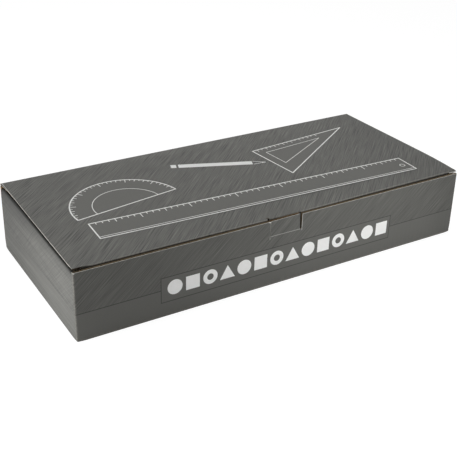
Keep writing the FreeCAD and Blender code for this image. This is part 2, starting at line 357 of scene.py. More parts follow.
@dataclass(frozen=True)
class PrintedPaper(Finish):
    """Matt film over dark grey print, brushed with fine slanting strokes.

    A rim is an axis, a place on it, a width, a strength and a tilt along Y. A cut mark is a place across, its
    two heights and a strength. A torn spot is its middle and a radius. A worn fold is an axis and a place.
    """

    colour: Triple = srgb(101, 101, 97)
    plane: Plane = Plane.LEVEL
    slant: float = 44.0
    ripple_axis: int = 0
    banded: bool = False
    titled: bool = False
    fields: Tuple[ToolField, ...] = ()
    stroke_depth: float = 0.5
    stroke_scale: float = 1.0
    stroke_level: float = 0.9
    line_level: float = 0.45
    # Painted shade of the flute ridges under the liner, as streaks along the flutes.
    flute_ridge_shade: float = 0.0
    end_shade: bool = False
    # Painted shade towards the right end: where it starts and how much it darkens.
    painted_shade_right: Optional[Pair] = None
    pale_back: float = 0.0
    worn_folds: Tuple[Cut, ...] = ()
    bare_rims: Tuple[Tuple[int, float, float, float, float], ...] = ()
    cut_marks: Tuple[Tuple[float, float, float, float], ...] = ()
    torn_spots: Tuple[Triple, ...] = ()
    line_width: float = 0.55
    cut_width: float = 0.5
    edge_soft: float = 0.3
    frame_soft: float = 0.2
    patch_scale: float = 0.025
    fold_wear: Pair = (0.2, 2.6)
    worn_colour: Triple = srgb(178, 174, 164)
    rim_colour: Triple = srgb(232, 231, 226)
    cut_colour: Triple = srgb(222, 221, 216)
    torn_colour: Triple = srgb(226, 224, 218)

    def across(self, bench: Bench) -> Tuple[Wire, Wire]:
        """The point's two coordinates in the sheet."""
        u, v = (bench.place[axis] for axis in self.plane.value)
        return u, v

    def strokes(self, bench: Bench) -> Wire:
        """Fine long strokes at the slant, stronger in some patches, about 0."""
        u, v = self.across(bench)
        along, across = turned(u, v, math.radians(self.slant))
        across = across * self.stroke_scale
        fine, finer = (
            bench.noise(bench.point(along * length, across * width, layer), detail=1.0) - 0.5
            for length, width, layer in ((0.018, 0.95, 3.0), (0.03, 1.7, 7.0)))
        patches = bench.noise(bench.point(u * self.patch_scale, v * self.patch_scale, 5.0), detail=1.0).ramp(0.3, 0.7)
        return (fine * 0.45 + finer * 0.6) * (0.85 + patches * 0.35)

    def rule(self, away: Wire, width: float) -> Wire:
        """1 on a thin line, from the distance to it."""
        return 1.0 - abs(away).ramp(width * 0.5, width * 1.1)

    def layout(self, u: Wire, v: Wire) -> Tuple[List[Wire], List[Wire]]:
        """The plain areas and the dark lines of the print.

        Args:
            u: The place along the sheet.
            v: The place up or across it.

        Returns:
            Masks of the areas, and masks of the lines.
        """
        plain, lines = [tool.mask(u, v) for tool in self.fields], []
        if self.banded:
            past = v - SIZE.band_top
            plain.append(1.0 - past.ramp(-self.edge_soft, self.edge_soft))
            lines.append(self.rule(past, self.line_width))
        if self.titled:
            left, right, bottom, top = SIZE.title_frame
            past = (abs(u - (left + right) / 2) - (right - left) / 2).higher(
                abs(v - (bottom + top) / 2) - (top - bottom) / 2)
            within = 1.0 - past.ramp(-self.frame_soft, self.frame_soft)
            plain.append(within)
            lines = [line * (1.0 - within) for line in lines] + [self.rule(past, self.line_width)]
        return plain, lines

    def light(self, bench: Bench, level: Wire) -> Wire:
        """Paints shade into the print towards the end walls' tops and towards the right end, and lightens it along the
        lid's back edge, over a band that widens towards the right.

        Args:
            bench: The material's nodes.
            level: The print's level.

        Returns:
            The new level.
        """
        u, v = self.across(bench)
        # Painted shade: the end walls' print darkens towards their tops, in a band that widens towards the back, and
        # nearly to black at the very top at the back.
        if self.end_shade:
            back = bench.place[1].ramp(-60.0, SIZE.half_depth)
            for spread, start, end, amount in ((back * 1.6, -12.0, 0.5, 0.35), (back * back * 3.0, -1.4, 0.2, 0.8)):
                shade = ((v - SIZE.side_shade_top) / (spread + 1.0)).ramp(start, end)
                level = level * (1.0 - shade * amount)
        # Painted shade: the print darkens towards the right end.
        if self.painted_shade_right is not None:
            start, amount = self.painted_shade_right
            level = level * (1.0 - u.ramp(start, SIZE.half_length) * amount)
        if self.pale_back:
            reach = (u / (2 * SIZE.half_length) + 0.5) * self.pale_back
            level = level * (1.0 + (v - SIZE.half_depth + reach).ramp(-2.0, 4.0) * 0.10)
        return level

    def wear(self, bench: Bench, speck: Wire, colour: Wire) -> Wire:
        """Shows the pale paper at worn folds, raw rims, cuts and torn spots, and a faint pale line along the lid's
        front fold.

        Args:
            bench: The material's nodes.
            speck: The print's fine speckle.
            colour: The print's colour.

        Returns:
            The new colour.
        """
        u, v = self.across(bench)
        if self.worn_folds:
            worn = highest([1.0 - abs(bench.place[axis] - at).ramp(*self.fold_wear) for axis, at in self.worn_folds])
            chips = bench.noise(bench.where, 0.55, 4.0, 0.7).ramp(0.44, 0.8)
            colour = bench.mix(worn * (0.05 + chips * 0.38), colour, self.worn_colour)
        for axis, at, width, strength, tilt in self.bare_rims:
            away = bench.place[axis] - at - (bench.place[1] * tilt if tilt else 0.0)
            rim = 1.0 - abs(away).ramp(width * 0.6, width * 1.4)
            colour = bench.mix(rim * (speck * 0.4 + 0.8) * strength, colour, self.rim_colour)
        for at, low, high, strength in self.cut_marks:
            mark = self.rule(u - at, self.cut_width) * v.between(low, high, self.edge_soft)
            colour = bench.mix(mark * (speck * 0.8 + 0.6) * strength, colour, self.cut_colour)
        for at_u, at_v, radius in self.torn_spots:
            away = (u - at_u).distance(v - at_v) + speck * 0.8 - 0.4
            colour = bench.mix((1.0 - away.ramp(radius * 0.6, radius * 1.1)) * 0.85, colour, self.torn_colour)
        return colour

    def look(self, bench: Bench) -> Look:
        """See base class."""
        plain, lines = self.layout(*self.across(bench))
        strokes = self.strokes(bench)
        level = strokes * self.stroke_depth * 2.0 + self.stroke_level
        if plain:
            level = level + (1.0 - level) * highest(plain)
        level = level * (bench.noise(bench.where, 0.012) * 0.10 + 0.95)
        if lines:
            level = level * (1.0 - highest(lines) * (1.0 - self.line_level))
        speck = bench.noise(bench.where, 1.3, 2.0, 0.7)
        level = level * (speck * 0.04 + 0.98)
        # Painted shade: streaks along the flutes stand in for the shading of their ridges under the liner.
        if self.flute_ridge_shade:
            long = bench.point(*(
                part * (0.48 if axis == self.ripple_axis else 0.01) for axis, part in enumerate(bench.place)))
            level = level * ((bench.noise(long, 1.0, 2.0, 0.6) - 0.5) * self.flute_ridge_shade + 1.0)
        colour = bench.shaded(self.colour, self.light(bench, level))
        ripple = bench.washboard(self.ripple_axis) * 0.5 + 0.5
        washboard = bench.bump(ripple + bench.noise(bench.where, 0.02) * 14.0, 0.035)
        return {
            "Base_Color": self.wear(bench, speck, colour),
            "Roughness": 0.50 + speck * 0.08 + strokes * 0.12,
            "Normal": bench.bump(bench.noise(bench.where, 2.2, 2.0, 0.6), 0.012, washboard),
            "Specular_IOR_Level": 0.25,
        }


@dataclass(frozen=True)
class BrownPaper(Finish):
    """Kraft paper with fibres, and the washboard of the flutes under it."""

    fibre_colour: Triple
    ripple_axis: Optional[int] = None

    def look(self, bench: Bench) -> Look:
        """See base class."""
        fibres = bench.noise(bench.where, 0.9, 5.0, 0.75)
        share = fibres.ramp(0.35, 0.75) * 0.6 + bench.noise(bench.where, 0.03, 3.0, 0.6) * 0.3
        height = fibres
        if self.ripple_axis is not None:
            ripple = bench.washboard(self.ripple_axis)
            share = share + (ripple * 0.5 + 0.5) * 0.16
            height = fibres * 0.5 + ripple * 1.6
        return {"Base_Color": bench.mix(share, self.colour, self.fibre_colour), "Roughness": 0.82 + fibres * 0.12,
                "Normal": bench.bump(height, 0.03), "Specular_IOR_Level": 0.3}


@dataclass(frozen=True)
class ShapeInk(Finish):
    """Pale ink printed on the film, a little uneven."""

    def look(self, bench: Bench) -> Look:
        """See base class."""
        speck = bench.noise(bench.where, 1.6, 3.0, 0.6)
        level = speck * 0.07 + bench.noise(bench.where, 0.05) * 0.06 + 0.93
        return {"Base_Color": bench.shaded(self.colour, level), "Roughness": 0.42 + speck * 0.1,
                "Normal": bench.bump(speck, 0.008)}


# Finishes of the contents
@dataclass(frozen=True)
class Plastic(Finish):
    """Moulded plastic with a fine grain, slight clouding and scuffs."""

    roughness: float
    grain_scale: float = 1.6
    grain_depth: float = 0.05
    scuff: float = 0.06

    def look(self, bench: Bench) -> Look:
        """See base class."""
        x, y, z = bench.place
        grain = bench.noise(bench.where, self.grain_scale, 2.0, 0.6)
        clouded = bench.shaded(self.colour, bench.noise(bench.where, 0.03, 3.0, 0.6) * 0.16 + 0.92)
        drawn = bench.noise(bench.point(x * 0.02, y * 0.6, z * 0.6), 1.0, 3.0, 0.7).ramp(0.55, 0.85)
        return {"Base_Color": bench.mix(drawn * self.scuff, clouded, (0.6, 0.6, 0.6)),
                "Roughness": self.roughness + grain * 0.08 + drawn * 0.12,
                "Normal": bench.bump(grain, self.grain_depth)}


@dataclass(frozen=True)
class Enamel(Finish):
    """Glossy white writing enamel, with the faint haze that wiping leaves."""

    def look(self, bench: Bench) -> Look:
        """See base class."""
        x, y, z = bench.place
        wiped = bench.noise(bench.point(x * 0.008, y * 0.06, z * 0.06), 1.0, 4.0, 0.65)
        return {"Base_Color": bench.mix(wiped.ramp(0.45, 0.8) * 0.25, self.colour, srgb(205, 210, 216)),
                "Roughness": 0.09 + wiped * 0.14, "Normal": bench.bump(bench.noise(bench.where, 0.25), 0.02),
                "Coat_Weight": 0.4}


@dataclass(frozen=True)
class Foam(Finish):
    """White closed-cell foam with a beaded skin."""

    bead_scale: float = 0.32

    def look(self, bench: Bench) -> Look:
        """See base class."""
        beads = bench.cells(bench.where, self.bead_scale)
        seams = bench.cells(bench.where, self.bead_scale, "DISTANCE_TO_EDGE").ramp(0.0, 0.12)
        cloud = bench.noise(bench.where, 0.04, 3.0, 0.6)
        return {"Base_Color": bench.shaded(self.colour, seams * 0.10 + cloud * 0.06 + 0.86),
                "Roughness": 0.78 + cloud * 0.1, "Normal": bench.bump(seams - beads * 0.5, 0.22)}


@dataclass(frozen=True)
class Felt(Finish):
    """Pressed wool felt, layered across its thickness."""

    tip_colour: Triple

    def look(self, bench: Bench) -> Look:
        """See base class."""
        fuzz = bench.noise(bench.where, 1.4, 6.0, 0.8)
        tufts = bench.noise(bench.where, 0.25, 3.0, 0.6)
        tipped = bench.mix(fuzz.ramp(0.4, 0.75), self.colour, self.tip_colour)
        return {"Base_Color": bench.shaded(tipped, tufts * 0.3 + 0.85), "Roughness": 0.9 + fuzz * 0.08,
                "Normal": bench.bump(fuzz + tufts * 0.6, 0.35), "Sheen_Weight": 0.3}


@dataclass(frozen=True)
class BandedBarrel(Finish):
    """White marker barrel with plain coloured rings printed round it."""

    ring_colour: Triple
    rings: Tuple[Pair, ...]

    def look(self, bench: Bench) -> Look:
        """See base class."""
        x, y, z = bench.place
        ring = highest([x.between(start, end, 0.15) for start, end in self.rings])
        speck = bench.noise(bench.point(x * 0.3, y, z), 1.0, 3.0, 0.6)
        white = bench.shaded(self.colour, speck * 0.06 + 0.95)
        return {"Base_Color": bench.mix(ring, white, self.ring_colour), "Roughness": 0.26 + speck * 0.1,
                "Normal": bench.bump(speck, 0.02)}


@dataclass(frozen=True)
class LeafletPaper(Finish):
    """Uncoated paper with a plain grid of guide lines on its cover."""

    centre: Pair
    half: Pair
    grid: float = 12.0

    def look(self, bench: Bench) -> Look:
        """See base class."""
        fibres = bench.noise(bench.where, 1.2, 4.0, 0.7)
        u, v = bench.place[0] - self.centre[0], bench.place[1] - self.centre[1]
        near_u, near_v = (abs((part + self.grid / 2) % self.grid - self.grid / 2) for part in (u, v))
        inside = (self.half[0] - abs(u)).lower(self.half[1] - abs(v)).ramp(0.0, 0.4)
        lines = (1.0 - near_u.lower(near_v).ramp(0.15, 0.35)) * inside
        base = bench.shaded(self.colour, fibres * 0.08 + 0.94)
        return {"Base_Color": bench.mix(lines * 0.5, base, srgb(120, 126, 134)), "Roughness": 0.74 + fibres * 0.1,
                "Normal": bench.bump(fibres, 0.02)}


# Mesh helpers
class Side(Enum):
    """The six sides of a panel, as an axis and a direction."""

    LEFT = (0, -1)
    RIGHT = (0, 1)
    FRONT = (1, -1)
    BACK = (1, 1)
    BOTTOM = (2, -1)
    TOP = (2, 1)


def unit(axis: int, size: float = 1.0) -> Vector:
    """A vector along one axis."""
    return Vector([size if index == axis else 0.0 for index in range(3)])


def clamp(value: float) -> float:
    """The value held between 0 and 1."""
    return min(max(value, 0.0), 1.0)


def span_box(xs: Pair = EVERYWHERE, ys: Pair = EVERYWHERE, zs: Pair = EVERYWHERE) -> Box:
    """The box between two values of each coordinate, given in any order."""
    low, high = zip(*(sorted(pair) for pair in (xs, ys, zs)))
    return low, high


def folds(side: Side, *others: Side) -> Tuple[Tuple[Side, Side], ...]:
    """The edges where a side meets the others."""
    return tuple((side, other) for other in others)


def across_both(axis: int, *places: float) -> Tuple[Cut, ...]:
    """Cuts across an axis at the places and at their mirror places."""
    return tuple((axis, sign * at) for sign in BOTH for at in places)


def slice_at(bm: bmesh.types.BMesh, axis: int, at: float, faces: Sequence[bmesh.types.BMFace]) -> None:
    """Divides the faces along a plane across one axis.

    Args:
        bm: The mesh.
        axis: Which coordinate the plane is across.
        at: The plane's place.
        faces: The faces to divide.
    """
    edges = {edge for face in faces for edge in face.edges}
    verts = {vert for face in faces for vert in face.verts}
    bmesh.ops.bisect_plane(bm, geom=[*verts, *edges, *faces], dist=TOUCH, plane_co=unit(axis, at), plane_no=unit(axis))


def add_block(bm: bmesh.types.BMesh, box: Box) -> None:
    """Adds a block between two corners."""
    low, high = Vector(box[0]), Vector(box[1])
    made = bmesh.ops.create_cube(bm, size=1.0)["verts"]
    bmesh.ops.scale(bm, vec=high - low, verts=made)
    bmesh.ops.translate(bm, vec=(low + high) / 2, verts=made)


def within(point: Vector, box: Box) -> bool:
    """True if the point is in the box."""
    return all(low - TOUCH <= value <= high + TOUCH for low, value, high in zip(box[0], point, box[1]))


def delete_within(bm: bmesh.types.BMesh, faces: Sequence[bmesh.types.BMFace], boxes: Sequence[Box]) -> None:
    """Deletes those of the faces whose middles are in one of the boxes."""
    gone = [face for face in faces if any(within(face.calc_center_median(), box) for box in boxes)]
    bmesh.ops.delete(bm, geom=gone, context="FACES")


def mark_corners(bm: bmesh.types.BMesh, angle: float = 35.0) -> None:
    """Shades the faces smoothly, apart from the edges that turn by more than the angle."""
    bm.normal_update()
    for face in bm.faces:
        face.smooth = True
    for edge in bm.edges:
        edge.smooth = len(edge.link_faces) == 2 and edge.calc_face_angle(0.0) < math.radians(angle)


def node_box(node: str) -> Box:
    """Lowest and highest corner of a CAD node, in millimetres."""
    low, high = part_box(node)
    return tuple(low / MM), tuple(high / MM)


def new_object(name: str, data: bpy.types.ID) -> bpy.types.Object:
    """An object in the scene that shows the data."""
    made = bpy.data.objects.new(name, data)
    bpy.context.scene.collection.objects.link(made)
    return made


def mesh_object(name: str, bm: bmesh.types.BMesh, materials: Sequence[bpy.types.Material]) -> bpy.types.Object:
    """An object of the mesh, which is freed."""
    mesh = bpy.data.meshes.new(name)
    bm.to_mesh(mesh)
    bm.free()
    for material in materials:
        mesh.materials.append(material)
    return new_object(name, mesh)


@dataclass(frozen=True)
class Fitting:
    """What a finished piece belongs to."""

    body: str
    slot: str
    nodes: Tuple[str, ...] = ()

    def place(self, bm: bmesh.types.BMesh, name: str, materials: Sequence[bpy.types.Material]) -> bpy.types.Object:
        """Turns a mesh in millimetres into an object that rides on its body.

        Args:
            bm: The mesh, which is freed.
            name: The piece's name.
            materials: Its material slots.

        Returns:
            The object.
        """
        bmesh.ops.scale(bm, vec=(MM, MM, MM), verts=bm.verts)
        piece = mesh_object(name, bm, materials)
        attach(piece, self.body)
        if self.nodes:
            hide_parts(*self.nodes)
        LOG.info("%s: %d faces on %s", name, len(piece.data.polygons), self.body)
        return piece


def add_wall(piece: bpy.types.Object, thickness: float, rim_material: int = 0, inner_material: int = 0) -> None:
    """Gives an open sheet its thickness, inwards.

    Args:
        piece: The sheet.
        thickness: The wall in millimetres.
        rim_material: How many slots on from a face's own its cut edge's material is.
        inner_material: How many slots on its inner side's material is.
    """
    wall = piece.modifiers.new("wall", "SOLIDIFY")
    wall.thickness = thickness * MM
    wall.offset = -1.0
    wall.use_even_offset = True
    wall.material_offset = inner_material
    wall.material_offset_rim = rim_material


def even_shading(piece: bpy.types.Object) -> None:
    """Keeps large flat faces flat beside their rounded edges."""
    piece.modifiers.new("even_shading", "WEIGHTED_NORMAL").keep_sharp = True


# How the used carton is out of true
Shaping = Callable[[Vector], Vector]


@dataclass(frozen=True)
class LidSpring:
    """The closed lid's front edge stands up a little, more at its right."""

    reach: float = 209.53
    front_left: float = 0.1
    front_right: float = 1.2
    growth: float = 1.6

    def __call__(self, at: Vector) -> Vector:
        """The point's place on the sprung lid."""
        forward = clamp((SIZE.half_depth - at.y) / self.reach)
        right = (at.x / SIZE.half_length + 1) / 2
        rise = self.front_left + (self.front_right - self.front_left) * right ** self.growth
        return at + unit(2, rise * forward)


@dataclass(frozen=True)
class CrushedFold:
    """The lid's front is pressed down near the lock tab, and the flap leans back under its crease."""

    press: float = 1.7
    bump: float = 1.1
    bump_x: float = 15.0
    bump_spread: float = 80.0
    reach: float = 62.0
    end_fade: float = 12.0
    lean_from: float = 1.0
    lean: float = 0.8
    lean_most: float = 2.4
    lean_reach: float = 8.0

    def __call__(self, at: Vector) -> Vector:
        """The point's place at the pressed fold."""
        past = max(at.y - SIZE.lid_front, 0.0)
        inside = clamp((SIZE.flap_half + at.x) / self.end_fade)
        press = self.press + self.bump * math.exp(-((at.x - self.bump_x) / self.bump_spread) ** 2)
        drop = press * inside * max(1.0 - past / self.reach, 0.0) ** 2
        under = min(max(SIZE.lid_top - self.lean_from - at.z, 0.0) * self.lean, self.lean_most)
        return at + Vector((0.0, under * max(1.0 - past / self.lean_reach, 0.0), -drop))


@dataclass(frozen=True)
class SlantedCut:
    """The lid's raw ends are cut aslant, so that the lower liner stands back."""

    start: float = 3.0
    slope: float = 0.5

    def __call__(self, at: Vector) -> Vector:
        """The point's place at the slanted end."""
        share = clamp((abs(at.x) - SIZE.lid_left + self.start) / self.start)
        return at - unit(0, math.copysign((SIZE.lid_top - at.z) * self.slope * share, at.x))


@dataclass(frozen=True)
class EarSqueeze:
    """The lid's ears are squeezed thin towards their front edges, about a height that stays."""

    still_z: float
    thinnest: float
    length: float = 7.0

    def __call__(self, at: Vector) -> Vector:
        """The point's place on the squeezed ear."""
        share = clamp((SIZE.lid_front + SIZE.board - at.y) / self.length)
        return at + unit(2, (self.still_z - at.z) * (1.0 - self.thinnest) * share)


@dataclass(frozen=True)
class SlitDent:
    """The lid's fold is pressed in along the slit above the lock tab, and deeper at the slit's left end."""

    overrun: float = 1.2
    margin: float = 0.3
    depth: float = 0.7
    reach: float = 2.0
    hook: float = 2.4
    hook_depth: float = 2.6

    @property
    def ends(self) -> Pair:
        """The slit's two ends."""
        return SIZE.tab_window[0] - self.overrun, SIZE.tab_window[1] + self.overrun

    @property
    def cuts(self) -> Tuple[Cut, ...]:
        """The cuts that the dent's steps need."""
        left, right = self.ends
        steps = (0.0, self.margin, self.hook, self.hook + self.margin)
        return tuple((0, left + step) for step in steps) + ((0, right - self.margin), (0, right))

    def __call__(self, at: Vector) -> Vector:
        """The point's place on the dented fold."""
        left, right = self.ends[0] + self.margin, self.ends[1] - self.margin
        if not left - TOUCH <= at.x <= right + TOUCH:
            return at
        depth = self.hook_depth if at.x < left + self.hook - TOUCH else self.depth
        return at + unit(1, depth * (1.0 - clamp((at.y - SIZE.lid_front) / self.reach)))


@dataclass(frozen=True)
class TabLean:
    """The lock tab leans into the carton, more at its right."""

    left: float = 0.25
    right: float = 1.7
    growth: float = 0.8

    def __call__(self, at: Vector) -> Vector:
        """The point's place on the leaning tab."""
        up = max(at.z - SIZE.tab_foot, 0.0) / SIZE.tab_height
        share = ((at.x - SIZE.tab_centre) / SIZE.tab_half + 1) / 2
        return at + unit(1, (self.left + (self.right - self.left) * share) * up ** self.growth)


@dataclass(frozen=True)
class CornerCrush:
    """The carton's four bottom corners are knocked in a little."""

    amount: float = 0.4
    spread: float = 5.0
    tallness: float = 0.8
    lift: float = 0.7

    def __call__(self, at: Vector) -> Vector:
        """The point's place on the knocked carton."""
        away = Vector((SIZE.half_length - abs(at.x), SIZE.half_depth - abs(at.y), at.z * self.tallness))
        push = self.amount * math.exp(-(away.length / self.spread) ** 2)
        return at + Vector((-math.copysign(push, at.x), -math.copysign(push, at.y), push * self.lift))


@dataclass(frozen=True)
class WallLean:
    """The two ends lean inwards a little towards their tops, and their tops roll in, more at the back."""

    right: float = 1.6
    left_back: float = 0.8
    fade: float = 60.0
    roll_from: float = 60.0
    roll: float = 1.3
    corner_fade: float = 12.0

    def __call__(self, at: Vector) -> Vector:
        """The point's place on the leaning carton."""
        near_end = clamp((abs(at.x) - SIZE.half_length + self.fade) / self.fade)
        back = (at.y / SIZE.half_depth + 1) / 2
        lean = (self.right if at.x > 0 else self.left_back * back) * max(at.z, 0.0) / SIZE.wall_height
        up = clamp((at.z - self.roll_from) / (SIZE.wall_height - self.roll_from))
        inside = clamp((SIZE.half_depth - abs(at.y)) / self.corner_fade)
        lean += self.roll * up ** 2 * inside * (0.5 + 0.5 * back)
        return at - unit(0, math.copysign(lean * near_end, at.x))


@dataclass(frozen=True)
class LidTaper:
    """The lid's left end stands in from the carton's, more towards the hinge."""

    most: float = 2.4
    fade: float = 40.0
    hinge_fade: float = 28.0

    def __call__(self, at: Vector) -> Vector:
        """The point's place on the tapered lid."""
        near_end = clamp((-at.x - SIZE.half_length + self.fade) / self.fade)
        near_end *= clamp((SIZE.half_depth - at.y) / self.hinge_fade)
        return at + unit(0, self.most * near_end * (at.y / SIZE.half_depth + 1) / 2)


@dataclass(frozen=True)
class FoldRoom:
    """How far the tuck flap would settle under the pressed fold while it is folded in; the flap is not moved."""

    middle: Triple = (0.0, -99.0, 72.0)
    outward: float = 7.2
    upward: float = 4.2
    keep: float = 0.97

    def give(self, piece: bpy.types.Object) -> None:
        """Gives the flap a mesh of its own; the slide along its fold is worked out but not applied.

        Args:
            piece: The finished flap.
        """
        way = Vector((0.0, -self.outward, self.upward))
        anchor = (Vector(self.middle) + way / (1.0 - self.keep)) * MM
        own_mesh(piece)


# Corrugated board
class Sheet(Enum):
    """The material slots of a panel."""

    PRINT = 0
    PRINT_EDGE = 1
    LINER = 2
    LINER_EDGE = 3
    FLUTES = 4


@dataclass
class BoardPanel:
    """One panel of corrugated board: two liners, and the fluted paper between them."""

    name: str
    fitting: Fitting
    box: Box
    printed: Side
    flute_axis: Optional[int] = None
    raw: Tuple[Side, ...] = ()
    creases: Tuple[Tuple[Side, Side], ...] = ()
    crease_radius: float = 2.2
    cuts: Tuple[Cut, ...] = ()
    holes: Tuple[Box, ...] = ()
    hollows: Tuple[Box, ...] = ()
    corner_round: float = 0.0
    extra_blocks: Tuple[Box, ...] = ()
    shapings: Tuple[Shaping, ...] = ()
    wave_inset: float = 0.4
    flute_inset: float = 0.05
    points_per_flute: int = 12
    liner: float = 0.36
    flute_room: float = 0.54
    round_steps: int = 6
    faces_inward: float = -0.7

    def shell(self) -> bmesh.types.BMesh:
        """The panel's skin, open at its raw sides."""
        bm = bmesh.new()
        add_block(bm, self.box)
        for axis, at in self.cuts:
            slice_at(bm, axis, at, bm.faces[:])
        delete_within(bm, bm.faces[:], self.holes)
        self.round_creases(bm)
        bm.normal_update()
        if self.corner_round:
            bare = [face for face in bm.faces if abs(face.normal[self.printed.value[0]]) < 0.5]
        else:
            bare = [face for face in bm.faces if any(self.on_side(face.verts, side) for side in self.raw)]
        bmesh.ops.delete(bm, geom=bare, context="FACES")
        return bm

    def on_side(self, verts: Iterable[bmesh.types.BMVert], side: Side) -> bool:
        """True if all the vertices lie on the side's plane."""
        axis, sign = side.value
        at = self.box[sign > 0][axis]
        return all(abs(vert.co[axis] - at) < TOUCH for vert in verts)

    def round_creases(self, bm: bmesh.types.BMesh) -> None:
        """Rounds the folded edges, or the outline's lower corners where it has any."""
        pairs, radius = self.creases, self.crease_radius
        if self.corner_round:
            pairs, radius = ((Side.BOTTOM, Side.LEFT), (Side.BOTTOM, Side.RIGHT)), self.corner_round
        edges = [
            edge for edge in bm.edges
            if len(edge.link_faces) == 2 and any(all(self.on_side(edge.verts, side) for side in pair) for pair in pairs)
        ]
        bmesh.ops.bevel(bm, geom=edges, offset=radius, offset_type="OFFSET", segments=self.round_steps, profile=0.5,
                        affect="EDGES", material=-1)

    def medium(self, bm: bmesh.types.BMesh) -> None:
        """Adds the fluted paper as a waved sheet."""
        thick, flute = self.printed.value[0], self.flute_axis
        wave = 3 - thick - flute
        low, high = Vector(self.box[0]), Vector(self.box[1])
        half = (high - low) / 2
        count = max(self.points_per_flute, round(2 * half[wave] / SIZE.flute_pitch * self.points_per_flute))
        depth = half[thick] - self.flute_room
        skin = set(bm.faces)

        def sheet() -> List[bmesh.types.BMFace]:
            """The waved sheet's faces."""
            return [face for face in bm.faces if face not in skin]

        bmesh.ops.create_grid(bm, x_segments=count, y_segments=1, size=1.0)
        for vert in {vert for face in sheet() for vert in face.verts}:
            place = (low + high) / 2
            place[wave] += vert.co.x * (half[wave] - self.wave_inset)
            place[flute] += vert.co.y * (half[flute] - self.flute_inset)
            place[thick] += depth * math.sin(2 * math.pi * place[wave] / SIZE.flute_pitch) + self.liner / 2
            if self.corner_round:
                place.z = max(place.z, self.outline_bottom(place.x))
            vert.co = place
        for axis, at in self.cuts:
            slice_at(bm, axis, at, sheet())
        delete_within(bm, sheet(), self.holes + self.hollows)
        for face in sheet():
            face.material_index = Sheet.FLUTES.value

    def outline_bottom(self, x: float) -> float:
        """Height of the rounded outline's lower edge."""
        past = abs(x) - (self.box[1][0] - self.corner_round)
        drop = self.corner_round - math.sqrt(max(self.corner_round ** 2 - max(past, 0.0) ** 2, 0.0))
        return self.box[0][2] + drop + self.flute_inset

    def build(self, papers: Sequence[bpy.types.Material]) -> bpy.types.Object:
        """Makes the panel.

        Args:
            papers: Its materials, in the order of Sheet.

        Returns:
            The panel's object.
        """
        bm = self.shell()
        bm.normal_update()
        axis, sign = self.printed.value
        for face in bm.faces:
            face.material_index = (Sheet.LINER if face.normal[axis] * sign < self.faces_inward else Sheet.PRINT).value
        if self.flute_axis is not None:
            self.medium(bm)
        for block in self.extra_blocks:
            add_block(bm, block)
        for shaping in self.shapings:
            for vert in bm.verts:
                vert.co = shaping(vert.co)
        mark_corners(bm)
        piece = self.fitting.place(bm, self.name, papers)
        add_wall(piece, self.liner, Sheet.PRINT_EDGE.value, Sheet.FLUTES.value)
        even_shading(piece)
        return piece


# The carton
NODE_NAMES = {"floor": "bottom_panel", "lid": "lid_panel", "tuck_flap": "lid_tuck_flap", "lock_tab": "front_lock_tab"}


